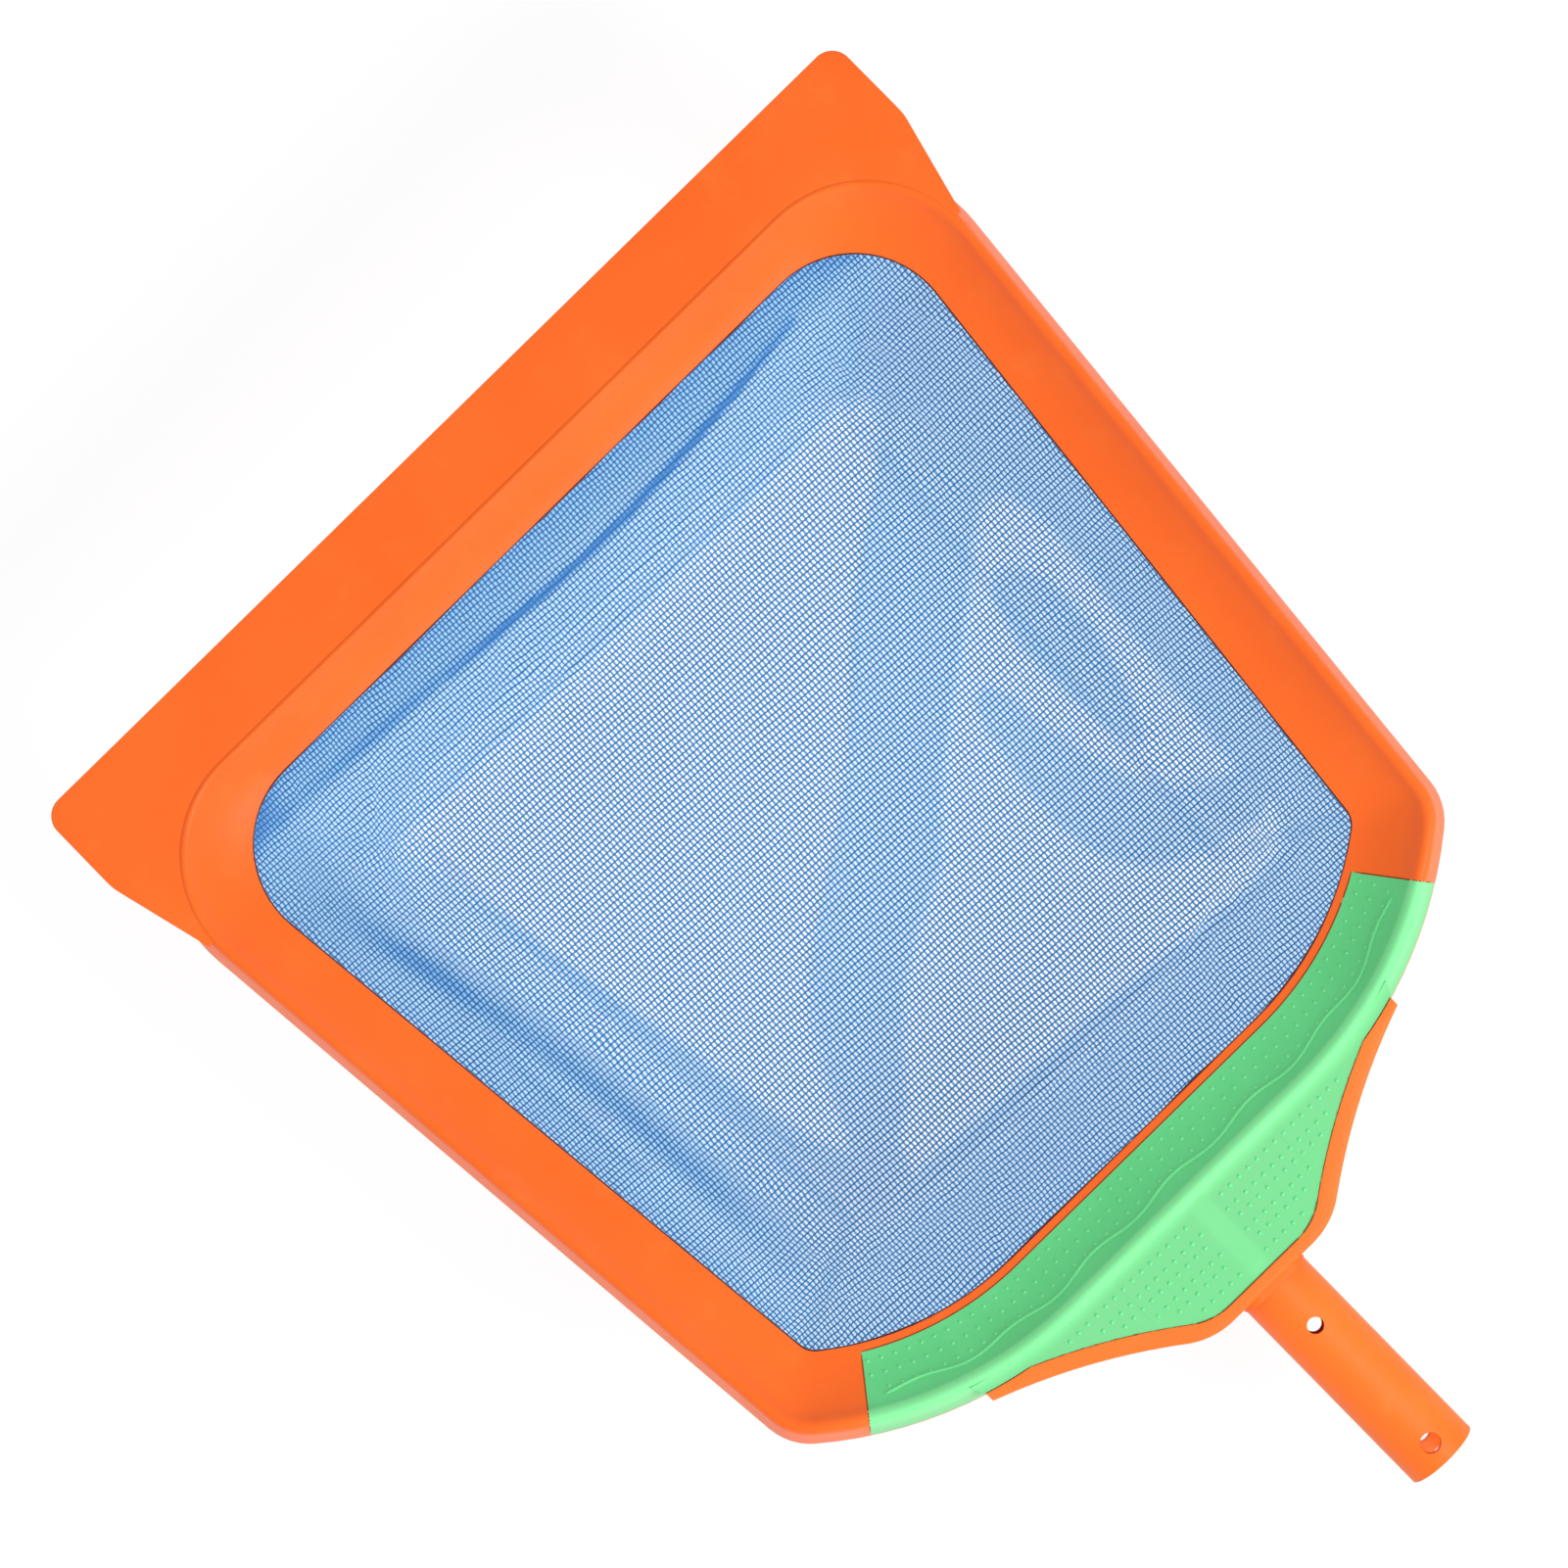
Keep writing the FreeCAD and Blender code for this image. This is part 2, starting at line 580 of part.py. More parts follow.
def gusset_zone(x_sign, shift):
    """Everything outside a side seam, moved outwards by shift."""
    line = seam_line(x_sign)
    (ax, ay), (bx, by), (cx, cy), (dx, dy) = line
    s = x_sign * shift
    inner = [(bx + s, by), (cx + s, cy)]
    front = (ax + (ax - bx) * 0.3 + s, ay + (ay - by) * 0.3 - shift * 0.4)
    rear = (dx + (dx - cx) * 0.3 + s, dy + (dy - cy) * 0.3 + shift * 0.4)
    far = x_sign * 260.0
    points = [front] + inner + [rear, (far, rear[1]), (far, front[1])]
    return plan_prism(points, BAG_FLOOR_Z - 10, BAG_TOP_Z + 5)


def net_panels():
    """The long panel down the front, along the floor and up the rear, and the two gussets."""
    net = bag_shell(-NET_T, 0.0)
    main = net
    gussets = []
    for x_sign in (-1, 1):
        main = main.cut(gusset_zone(x_sign, -SEAM_GAP / 2))
        gussets.append(net.common(gusset_zone(x_sign, SEAM_GAP / 2)))
    return main, gussets


def seam_binding(x_sign):
    """The tape that covers a side seam on the outside of the bag."""
    strip = gusset_zone(x_sign, -BINDING_W / 2).cut(gusset_zone(x_sign, BINDING_W / 2))
    layer = bag_shell(0.1, 0.1 + BINDING_T)
    return layer.common(strip).common(block(-FAR, FAR, -FAR, FAR, BAG_FLOOR_Z - 5, BAG_TOP_Z - 3.2))


def screw(point, direction, length):
    """A pan-head screw: point is under its head, and direction is the way it is driven."""
    back = direction * -HEAD_H
    head = Part.makeCylinder(HEAD_R, HEAD_H, point + back, direction)
    rims = [e for e in head.Edges if e.Closed and e.CenterOfMass.distanceToPoint(point + back) < 0.01]
    head = head.makeFillet(HEAD_ROUND, rims)
    shank = Part.makeCylinder(SHANK_R, length, point, direction)
    return head.fuse(shank)


def hem_cord():
    """The bead sewn into the hem, which the frame's groove holds."""
    path = ring(grown(MOUTH, HEM_CORD_OFFSET), HEM_CORD_Z)
    start = path.Edges[0]
    centre = start.valueAt(start.FirstParameter)
    along = start.tangentAt(start.FirstParameter)
    section = Part.Wire([Part.Circle(centre, along, HEM_CORD_R).toShape()])
    return path.makePipeShell([section], True, False)


def retainer_ring():
    """The flat ring that closes the groove from below."""
    plate = band(grown(MOUTH, RING_INNER), grown(MOUTH, RING_OUTER), *RING_Z)
    for p in retainer_screw_points():
        plate = plate.cut(Part.makeCylinder(PILOT_R + 0.3, 10, Vector(p.x, p.y, 0), UP))
    return plate


# ---------------------------------------------------------------- the parts
def build():
    shell, soft = frame_layers()
    main, (gusset_left, gusset_right) = net_panels()
    ring_low = RING_Z[0]
    ring_screws = [screw(Vector(p.x, p.y, ring_low), UP, RING_SCREW_LENGTH) for p in retainer_screw_points()]
    rear_screws = [screw(p, Vector(0, -1, 0), YOKE_SCREW_LENGTH - 1) for p in yoke_screw_points()]
    inner, outer = (grown(MOUTH, d) for d in HEM_SPAN)
    return {
        "frame_shell": frame_shell(shell),
        "grip_cover": grip_cover(soft),
        "handle_yoke": handle_yoke(),
        "net_retainer_ring": retainer_ring(),
        "retainer_screws": Part.makeCompound(ring_screws),
        "yoke_screws": Part.makeCompound(rear_screws),
        "hem_tape": band(inner, outer, *HEM_Z),
        "hem_cord": hem_cord(),
        "net_main_panel": main,
        "net_gusset_left": gusset_left,
        "net_gusset_right": gusset_right,
        "seam_binding_left": seam_binding(-1),
        "seam_binding_right": seam_binding(1),
    }


os.makedirs("parts", exist_ok=True)
for node, shape in build().items():
    shape.exportStep("parts/" + node + ".step")
    print(node, shape.isValid(), len(shape.Solids), round(shape.Volume), shape.optimalBoundingBox(False))
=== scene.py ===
import math

import bmesh
import bpy
import numpy as np
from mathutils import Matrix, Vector
from mathutils.bvhtree import BVHTree


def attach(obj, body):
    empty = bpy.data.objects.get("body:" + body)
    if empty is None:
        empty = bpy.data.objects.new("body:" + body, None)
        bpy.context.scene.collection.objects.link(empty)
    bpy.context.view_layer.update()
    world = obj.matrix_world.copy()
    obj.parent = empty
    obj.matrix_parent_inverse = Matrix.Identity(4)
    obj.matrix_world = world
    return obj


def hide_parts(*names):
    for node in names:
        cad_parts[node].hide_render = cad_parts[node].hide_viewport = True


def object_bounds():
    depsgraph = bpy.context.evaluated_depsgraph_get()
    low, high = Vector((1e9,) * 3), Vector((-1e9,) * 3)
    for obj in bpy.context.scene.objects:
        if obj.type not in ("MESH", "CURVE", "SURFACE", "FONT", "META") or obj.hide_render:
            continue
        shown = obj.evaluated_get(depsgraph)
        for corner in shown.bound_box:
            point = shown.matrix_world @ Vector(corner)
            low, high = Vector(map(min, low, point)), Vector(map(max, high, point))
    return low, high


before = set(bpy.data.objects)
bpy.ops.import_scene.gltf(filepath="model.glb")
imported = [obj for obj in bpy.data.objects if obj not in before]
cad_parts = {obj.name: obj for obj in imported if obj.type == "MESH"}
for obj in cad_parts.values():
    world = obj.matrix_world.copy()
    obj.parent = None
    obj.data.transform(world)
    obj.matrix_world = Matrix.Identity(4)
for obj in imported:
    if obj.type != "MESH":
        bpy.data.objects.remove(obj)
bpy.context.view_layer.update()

MM = 0.001
NEVER_ZERO = 1e-9

# The object's own plan outlines in millimetres, as in the CAD. Each has a straight rear edge,
# a large and a small arc at each rear corner, a tapering side and one arc at each front corner.
REFERENCE_Y = 335.4       # where side_x is measured
MOUTH = dict(rear_y=72.0, rear_half=62.0, rear_r=120.0, corner_r=9.0,
             side_x=163.3, taper=6.0, front_y=383.3, front_r=38.0)
CREST = dict(rear_y=44.7, rear_half=58.0, rear_r=155.0, corner_r=20.0,
             side_x=184.9, taper=5.25, front_y=400.0, front_r=46.0)
BAG_FLOOR = dict(rear_y=107.0, rear_half=45.0, rear_r=110.0, corner_r=16.0,
                 side_x=120.0, taper=6.3, front_y=341.0, front_r=26.0)
HEM_Z = 5.0
BAG_DEPTH = 85.0
CENTRE = np.array([0.0, 225.0])
FEWEST_ON_ARC = 6


# ---------------------------------------------------------------- plan outlines
def grown(o, d):
    """The outline moved outwards by d."""
    g = dict(o)
    g["rear_y"] -= d
    g["rear_r"] += d
    g["corner_r"] += d
    g["side_x"] += d / math.cos(math.radians(o["taper"]))
    g["front_y"] += d
    g["front_r"] += d
    return g


def half_outline(o, arc_step=2.0):
    """Points along the right-hand half of an outline, rear to front.

    Also gives the index of the middle of the rear corner and of the front one.
    """
    a = math.radians(o["taper"])
    along = np.array([math.sin(a), math.cos(a)])
    inward = np.array([-math.cos(a), math.sin(a)])
    side = np.array([o["side_x"], REFERENCE_Y])
    rear_centre = np.array([o["rear_half"], o["rear_y"] + o["rear_r"]])
    line = side + inward * o["corner_r"]
    off = line - rear_centre
    reach = o["rear_r"] - o["corner_r"]
    b = off @ along
    corner_centre = line + along * (-b - math.sqrt(b * b - off @ off + reach * reach))
    out = corner_centre - rear_centre
    turn = math.atan2(out[1], out[0])
    line = side + inward * o["front_r"]
    front_centre = line + along * ((o["front_y"] - o["front_r"] - line[1]) / along[1])

    def arc(centre, r, start, end):
        n = max(FEWEST_ON_ARC, int(abs(end - start) * r / arc_step))
        return [
            centre + r * np.array([math.cos(t), math.sin(t)]) for t in np.linspace(start, end, n)
        ]

    rear = arc(rear_centre, o["rear_r"], -math.pi / 2, turn)
    corner = arc(corner_centre, o["corner_r"], turn, -a)
    front = arc(front_centre, o["front_r"], -a, math.pi / 2)
    points = [np.array([0.0, o["rear_y"]])] + rear + corner + front
    points.append(np.array([0.0, o["front_y"]]))
    corner_start = 1 + len(rear)
    front_start = corner_start + len(corner)
    return np.array(points), corner_start + len(corner) // 2, front_start + len(front) // 2


def resampled(points, n):
    """n points evenly along a polyline."""
    steps = np.r_[0, np.cumsum(np.linalg.norm(np.diff(points, axis=0), axis=1))]
    at = np.linspace(0, steps[-1], n)
    return np.stack([np.interp(at, steps, points[:, k]) for k in range(points.shape[1])], 1)


def closed(o):
    """The whole outline, as a closed run of points."""
    half, _, _ = half_outline(o)
    other = half[::-1] * [-1, 1]
    return np.vstack([half, other[1:-1]])


def side_of(points, poly):
    """Distance from each point to a closed polygon, negative inside, and the nearest place on it."""
    a, b = poly, np.roll(poly, -1, 0)
    ab = b - a
    length2 = np.maximum((ab * ab).sum(1), NEVER_ZERO)
    best = np.full(len(points), np.inf)
    near = np.zeros_like(points)
    inside = np.zeros(len(points), bool)
    for k in range(len(a)):
        t = np.clip(((points - a[k]) @ ab[k]) / length2[k], 0, 1)
        q = a[k] + t[:, None] * ab[k]
        d = np.linalg.norm(points - q, axis=1)
        closer = d < best
        best[closer] = d[closer]
        near[closer] = q[closer]
        crosses = (a[k][1] > points[:, 1]) != (b[k][1] > points[:, 1])
        if ab[k][1]:
            x = a[k][0] + (points[:, 1] - a[k][1]) / ab[k][1] * ab[k][0]
            inside ^= crosses & (points[:, 0] < x)
    return np.where(inside, -best, best), near


def along_line(points, line):
    """Distance from each point to an open polyline, and how far along it the nearest place is."""
    a, b = line[:-1], line[1:]
    lengths = np.linalg.norm(b - a, axis=1)
    starts = np.r_[0, np.cumsum(lengths)][:-1]
    best = np.full(len(points), np.inf)
    share = np.zeros(len(points))
    for k in range(len(a)):
        ab = b[k] - a[k]
        t = np.clip(((points - a[k]) @ ab) / max(ab @ ab, NEVER_ZERO), 0, 1)
        d = np.linalg.norm(points - (a[k] + t[:, None] * ab), axis=1)
        closer = d < best
        best[closer] = d[closer]
        share[closer] = ((starts[k] + t * lengths[k]) / lengths.sum())[closer]
    return best, share


def smooth_step(x, low, high):
    """A soft step from 0 at low to 1 at high, which may be the smaller of the two."""
    t = np.clip((x - low) / (high - low), 0, 1)
    return t * t * (3 - 2 * t)


# ---------------------------------------------------------------- materials
class Shader:
    """A small helper that adds and joins nodes of one material."""

    def __init__(self, name):
        self.material = bpy.data.materials.new(name + "_look")
        self.material.use_nodes = True
        self.tree = self.material.node_tree
        self.bsdf = self.tree.nodes["Principled BSDF"]

    def add(self, kind, inputs=(), **settings):
        node = self.tree.nodes.new(kind)
        for key, value in settings.items():
            setattr(node, key, value)
        for key, value in dict(inputs).items():
            self.put(node.inputs[key], value)
        return node

    def put(self, socket, value):
        if isinstance(value, bpy.types.NodeSocket):
            self.tree.links.new(value, socket)
        else:
            socket.default_value = value

    def set(self, **values):
        for key, value in values.items():
            self.put(self.bsdf.inputs[key.replace("_", " ")], value)

    def math(self, operation, a, b=0.0, clamp=False):
        node = self.add("ShaderNodeMath", {0: a, 1: b}, operation=operation, use_clamp=clamp)
        return node.outputs[0]

    def mix(self, factor, a, b):
        """Colour a where factor is 0, colour b where it is 1. 6 and 7 are the node's colour inputs."""
        node = self.add("ShaderNodeMix", {"Factor": factor, 6: a, 7: b}, data_type="RGBA")
        return node.outputs[2]

    def ramp(self, value, low, high, to_low=0.0, to_high=1.0, shape="SMOOTHSTEP"):
        span = {"Value": value, "From Min": low, "From Max": high, "To Min": to_low, "To Max": to_high}
        return self.add("ShaderNodeMapRange", span, interpolation_type=shape).outputs[0]

    def noise(self, where, scale, detail=3.0, roughness=0.5):
        cells = {"Vector": where, "Scale": scale, "Detail": detail, "Roughness": roughness}
        return self.add("ShaderNodeTexNoise", cells).outputs["Fac"]

    def place(self):
        return self.add("ShaderNodeTexCoord").outputs["Object"]

    def bump(self, height, strength, distance, normal=None):
        relief = {"Height": height, "Strength": strength, "Distance": distance}
        node = self.add("ShaderNodeBump", relief)
        if normal is not None:
            self.put(node.inputs["Normal"], normal)
        return node.outputs["Normal"]


def rgb(r, g, b):
    """Linear colour from an sRGB triple of 0 to 255."""
    def linear(v):
        v /= 255
        return v / 12.92 if v <= 0.04045 else ((v + 0.055) / 1.055) ** 2.4
    return (linear(r), linear(g), linear(b), 1.0)


# Sizes of the plastics' noise, in cells per metre
CLOUD_SCALE = 14.0
FLOW_SCALE = 55.0
GRAIN_SCALE = 2600.0
# Zones of the cover's painted highlight on the ridge and painted shade outside it, in metres out from
# the ridge's line, and the width of the painted highlight streak from the middle
RIDGE_HIGHLIGHT_ZONE = (-0.0035, -0.0023)
OUTSIDE_SHADE_ZONE = (0.001, 0.0075)
STREAK_HIGHLIGHT_ZONE = (0.003, 0.007)
STREAK_HIGHLIGHT_WIDTH = (0.002, 0.007)


def past_ridge(s, at):
    """How far outside the ridge's rear arch a place is, in metres, and how far from the middle."""
    split = s.add("ShaderNodeSeparateXYZ", {0: at}).outputs
    past_straight = s.math("SUBTRACT", s.math("ABSOLUTE", split[0]), CREST["rear_half"] * MM)
    beside = s.math("MAXIMUM", past_straight, 0.0)
    ahead = s.math("SUBTRACT", (CREST["rear_y"] + CREST["rear_r"]) * MM, split[1])
    squares = s.math("ADD", s.math("MULTIPLY", beside, beside), s.math("MULTIPLY", ahead, ahead))
    outside = s.math("SUBTRACT", s.math("SQRT", squares), CREST["rear_r"] * MM)
    return outside, s.math("ABSOLUTE", split[0])


def plastic(name, colour, pale, dark, roughness=0.42, grain=0.25, edge=0.0005, sheen=0.0, painted_zones=None):
    """Moulded plastic: fine grain, faint flow marks, slightly paler scuffs and softened edges.

    The last argument gives two smoother colours: a painted highlight on the ridge, and painted shade on
    what lies outside it. The ridge's colour also paints a highlight streak near the middle.
    """
    s = Shader(name)
    at = s.place()
    cloud = s.noise(at, CLOUD_SCALE, 4.0)
    flow = s.noise(at, FLOW_SCALE, 5.0, 0.6)
    base = s.mix(s.ramp(cloud, 0.3, 0.72), dark, colour)
    base = s.mix(s.math("MULTIPLY", s.ramp(flow, 0.52, 0.8), 0.35), base, pale)
    if painted_zones:
        # The ridge's colour is painted highlight, the colour outside it is painted shade
        ridge_highlight, outside_shade = painted_zones
        out, off_middle = past_ridge(s, at)
        base = s.mix(s.ramp(out, *RIDGE_HIGHLIGHT_ZONE), base, ridge_highlight)
        base = s.mix(s.ramp(out, *OUTSIDE_SHADE_ZONE), base, outside_shade)
        # A paler streak near the middle, outside the ridge: painted highlight
        streak_highlight = s.ramp(off_middle, *STREAK_HIGHLIGHT_WIDTH, 0.3, 0.0)
        base = s.mix(s.math("MULTIPLY", streak_highlight, s.ramp(out, *STREAK_HIGHLIGHT_ZONE)), base, ridge_highlight)
        base = s.mix(s.math("MULTIPLY", s.ramp(cloud, 0.28, 0.62, 1.0, 0.0), 0.3), base, dark)
    fine = s.noise(at, GRAIN_SCALE, 2.0, 0.55)
    rough = s.math("ADD", s.ramp(fine, 0.2, 0.8, roughness - 0.06, roughness + 0.06),
                   s.ramp(flow, 0.3, 0.8, 0.0, 0.08))
    soft = s.add("ShaderNodeBevel", {"Radius": edge}, samples=4).outputs[0]
    normal = s.bump(fine, grain, 0.00006, soft)
    normal = s.bump(flow, 0.12, 0.0003, normal)
    s.set(Base_Color=base, Roughness=rough, Normal=normal, IOR=1.46, Specular_IOR_Level=0.24,
          Sheen_Weight=sheen)
    return s.material


def metal(name, colour):
    """Passivated steel with fine turning marks."""
    s = Shader(name)
    at = s.place()
    rings = s.noise(at, 1800.0, 2.0)
    tone = s.noise(at, 260.0, 3.0)
    shaded = tuple(c * 0.7 for c in colour[:3]) + (1.0,)
    s.set(Base_Color=s.mix(tone, shaded, colour), Metallic=1.0,
          Roughness=s.ramp(rings, 0.2, 0.8, 0.24, 0.42), Normal=s.bump(rings, 0.2, 0.00004))
    return s.material


BLACK = (0.0, 0.0, 0.0, 1.0)
WEAVE_X = 1.72            # pitch of the upright threads, in millimetres
WEAVE_Y = 2.16            # pitch of the cross threads
WEAVE_TURN = -3.0         # degrees from the object's own axes
HOLE_X = 0.272            # half of a hole's width, as a share of the pitch
HOLE_Y = 0.388            # half of its length
STAGGER = 0.12            # how far every second row is shifted, as a share of the pitch
DRIFT = 2.4               # how far the threads wander over the whole net, in millimetres
JITTER = 0.25             # how far they wander from hole to hole
NET_GLOW = 0.57           # painted glow: the threads give off light of their own, which stands in for the light that comes through the thin threads


def weave(name, thread, dark, cross, fill, deep):
    """Open knitted mesh: broad upright threads and thin dark cross threads.

    Where the net lies doubled and where painted shade falls on it, the attribute for both veils its
    holes with fill, darkens its threads, and at its strongest turns all of it to deep.
    """
    s = Shader(name)
    uv = s.add("ShaderNodeUVMap", uv_map="weave").outputs[0]

    def vector(operation, inputs):
        return s.add("ShaderNodeVectorMath", inputs, operation=operation).outputs[0]

    def wandering(amount, scale, detail):
        cells = {"Vector": uv, "Scale": scale, "Detail": detail}
        noise = s.add("ShaderNodeTexNoise", cells).outputs["Color"]
        return vector("SCALE", {0: vector("SUBTRACT", {0: noise, 1: (0.5, 0.5, 0.5)}), "Scale": amount})

    moved = vector("ADD", {0: uv, 1: wandering(DRIFT, 0.018, 1.0)})
    moved = vector("ADD", {0: moved, 1: wandering(JITTER, 0.16, 2.0)})
    turned = s.add("ShaderNodeVectorRotate", {"Vector": moved, "Angle": math.radians(-WEAVE_TURN)},
                   rotation_type="Z_AXIS")
    split = s.add("ShaderNodeSeparateXYZ", {0: turned.outputs[0]})
    row = s.math("DIVIDE", split.outputs[1], WEAVE_Y)
    shift = s.math("MULTIPLY", s.math("PINGPONG", s.math("FLOOR", row), 1.0), STAGGER)
    column = s.math("ADD", s.math("DIVIDE", split.outputs[0], WEAVE_X), shift)
    fx = s.math("ABSOLUTE", s.math("SUBTRACT", s.math("FRACT", column), 0.5))
    fy = s.math("ABSOLUTE", s.math("SUBTRACT", s.math("FRACT", row), 0.5))
    across = s.math("POWER", s.math("DIVIDE", fx, HOLE_X), 3.0)
    down = s.math("POWER", s.math("DIVIDE", fy, HOLE_Y), 5.0)
    threads = s.ramp(s.math("ADD", across, down), 0.72, 1.4)
    fold_and_shade = s.add("ShaderNodeAttribute", attribute_name="fold_and_shade").outputs["Fac"]
    hole = s.math("SUBTRACT", 1.0, threads)
    veil = s.ramp(fold_and_shade, 0.0, 0.75, 0.08, 1.0, "LINEAR")
    alpha = s.math("ADD", threads, s.math("MULTIPLY", hole, veil), clamp=True)
    tone = s.noise(uv, 0.12, 3.0)
    crossing = s.ramp(fy, HOLE_Y - 0.02, HOLE_Y + 0.05)
    darker = s.math("ADD", s.ramp(fold_and_shade, 0.15, 0.8, 0.0, 0.9), s.math("MULTIPLY", tone, 0.15),
                    clamp=True)
    closed_with = s.mix(s.ramp(fold_and_shade, 0.6, 1.0), fill, deep)
    colour = s.mix(hole, s.mix(darker, thread, dark), closed_with)
    colour = s.mix(crossing, colour, cross)
    s.set(Base_Color=s.mix(0.5, colour, BLACK), Emission_Color=colour, Emission_Strength=NET_GLOW,
          Alpha=alpha, Roughness=s.ramp(tone, 0.3, 0.7, 0.5, 0.66),
          Normal=s.bump(threads, 0.35, 0.00018), Specular_IOR_Level=0.15)
    return s.material


def tape(name, colour, dark, alpha=1.0):
    """Woven tape: a fine relief of threads, with uneven gloss."""
    s = Shader(name)
    at = s.place()
    ribs = s.add("ShaderNodeTexVoronoi", {"Vector": at, "Scale": 1400.0}).outputs["Distance"]
    tone = s.noise(at, 180.0, 3.0)
    s.set(Base_Color=s.mix(s.ramp(ribs, 0.2, 0.8), dark, colour), Alpha=alpha,
          Roughness=s.ramp(tone, 0.3, 0.7, 0.72, 0.9), Normal=s.bump(ribs, 0.5, 0.00015),
          Sheen_Weight=0.3)
    return s.material


ORANGE = plastic("orange_shell", rgb(255, 109, 32), rgb(255, 124, 48), rgb(252, 103, 27))
ORANGE_YOKE = plastic("orange_yoke", rgb(255, 118, 38), rgb(255, 134, 58), rgb(252, 112, 32))
ORANGE_RING = plastic("ring_plastic", rgb(240, 92, 34), rgb(250, 118, 60), rgb(228, 84, 30),
                      roughness=0.55)
# The cover's pale ridge and darker rear face are painted highlight and painted shade
GREEN = plastic("green_soft", rgb(104, 218, 137), rgb(118, 224, 150), rgb(98, 210, 130),
                roughness=0.6, grain=0.4, edge=0.0004, sheen=0.1,
                painted_zones=(rgb(134, 232, 153), rgb(118, 205, 134)))
# A paler green for the raised dots and the wavy line: painted highlight on their tops
GREEN_RAISED_HIGHLIGHT = plastic("green_raised", rgb(122, 228, 150), rgb(136, 234, 162), rgb(114, 220, 142),
                       roughness=0.5, grain=0.2, edge=0.0002, sheen=0.1)
# A dark orange for the beads along the cover's joints: painted shadow in the gaps
SEAM = plastic("seam_shadow", rgb(168, 78, 34), rgb(184, 90, 40), rgb(150, 66, 28), roughness=0.7)
STEEL = metal("screw_steel", (0.62, 0.62, 0.64, 1.0))
NET = weave("net_mesh", thread=rgb(86, 160, 217), dark=rgb(66, 112, 172), cross=rgb(36, 86, 148),
            fill=rgb(152, 207, 246), deep=rgb(56, 136, 206))
HEM = tape("hem_fabric", rgb(60, 110, 180), rgb(36, 76, 140))
BINDING = tape("binding_fabric", rgb(160, 198, 232), rgb(128, 172, 216), alpha=0.1)
# A dark tape just inside the frame's bead: painted shadow under the bead
PIPING_SHADOW = tape("hem_shadow_piping", rgb(92, 50, 52), rgb(60, 34, 44))
CORD = plastic("hem_cord", rgb(226, 228, 232), rgb(240, 240, 242), rgb(206, 210, 216),
               roughness=0.5)


# ---------------------------------------------------------------- pieces
WELD = 2e-6               # metres within which two corners are one
SLIVER = 1e-6
SHARP_ANGLE = math.radians(28.0)
ABOVE_ALL = 0.05          # a height over the whole object, in metres


def new_object(name, mesh, material, nodes=()):
    """Links a mesh as a piece of the object, with its material, and hides the CAD nodes that it stands
    in for.
    """
    obj = bpy.data.objects.new(name, mesh)
    bpy.context.scene.collection.objects.link(obj)
    mesh.materials.clear()
    mesh.materials.append(material)
    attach(obj, "root")
    if nodes:
        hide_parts(*nodes)
    return obj


def from_bmesh(name, bm, material, nodes=()):
    """Makes a smooth piece of a mesh under construction."""
    mesh = bpy.data.meshes.new(name)
    bmesh.ops.recalc_face_normals(bm, faces=bm.faces)
    for face in bm.faces:
        face.smooth = True
    bm.to_mesh(mesh)
    bm.free()
    return new_object(name, mesh, material, nodes)


def moulded(node, material):
    """A smooth-shaded copy of a CAD node, sharp only where its surface really turns."""
    bm = bmesh.new()
    bm.from_mesh(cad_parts[node].data)
    bmesh.ops.remove_doubles(bm, verts=bm.verts, dist=WELD)
    bmesh.ops.dissolve_degenerate(bm, edges=bm.edges, dist=SLIVER)
    for face in bm.faces:
        face.smooth = True
    for edge in bm.edges:
        edge.smooth = len(edge.link_faces) == 2 and edge.calc_face_angle(0) < SHARP_ANGLE
    mesh = bpy.data.meshes.new(node + "_look")
    bm.to_mesh(mesh)
    bm.free()
    return new_object(node + "_look", mesh, material, nodes=[node])


shell = moulded("frame_shell", ORANGE)
cover = moulded("grip_cover", GREEN)
yoke = moulded("handle_yoke", ORANGE_YOKE)
moulded("net_retainer_ring", ORANGE_RING)
for node, material in (("retainer_screws", STEEL), ("yoke_screws", STEEL), ("hem_cord", CORD)):
    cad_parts[node].data.materials.clear()
    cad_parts[node].data.materials.append(material)


def surface_of(*objects):
    """A tree for finding the surface of some pieces."""
    verts, faces = [], []
    for obj in objects:
        start = len(verts)
        verts += [v.co.copy() for v in obj.data.vertices]
        faces += [tuple(start + i for i in p.vertices) for p in obj.data.polygons]
    return BVHTree.FromPolygons(verts, faces)


def dropped(tree, x, y):
    """The surface's highest point at x, y in millimetres, and its normal."""
    hit, normal, _, _ = tree.ray_cast(Vector((x * MM, y * MM, ABOVE_ALL)), Vector((0, 0, -1)))
    return hit, normal


# ---------------------------------------------------------------- details of the soft cover
cover_tree = surface_of(cover)
rigid_tree = surface_of(cover, shell, yoke)


def around(sides):
    """The angles of a ring's corners."""
    return np.linspace(0, 2 * math.pi, sides, endpoint=False)


def join(bm, a, b):
    """Faces between two closed rings."""
    for i in range(len(a)):
        j = (i + 1) % len(a)
        bm.faces.new((a[i], a[j], b[j], b[i]))


TUBE_END = 0.25           # the radius of a bead's end ring, as a share of its full radius
TUBE_TAPER = 0.35         # how much more each next ring has


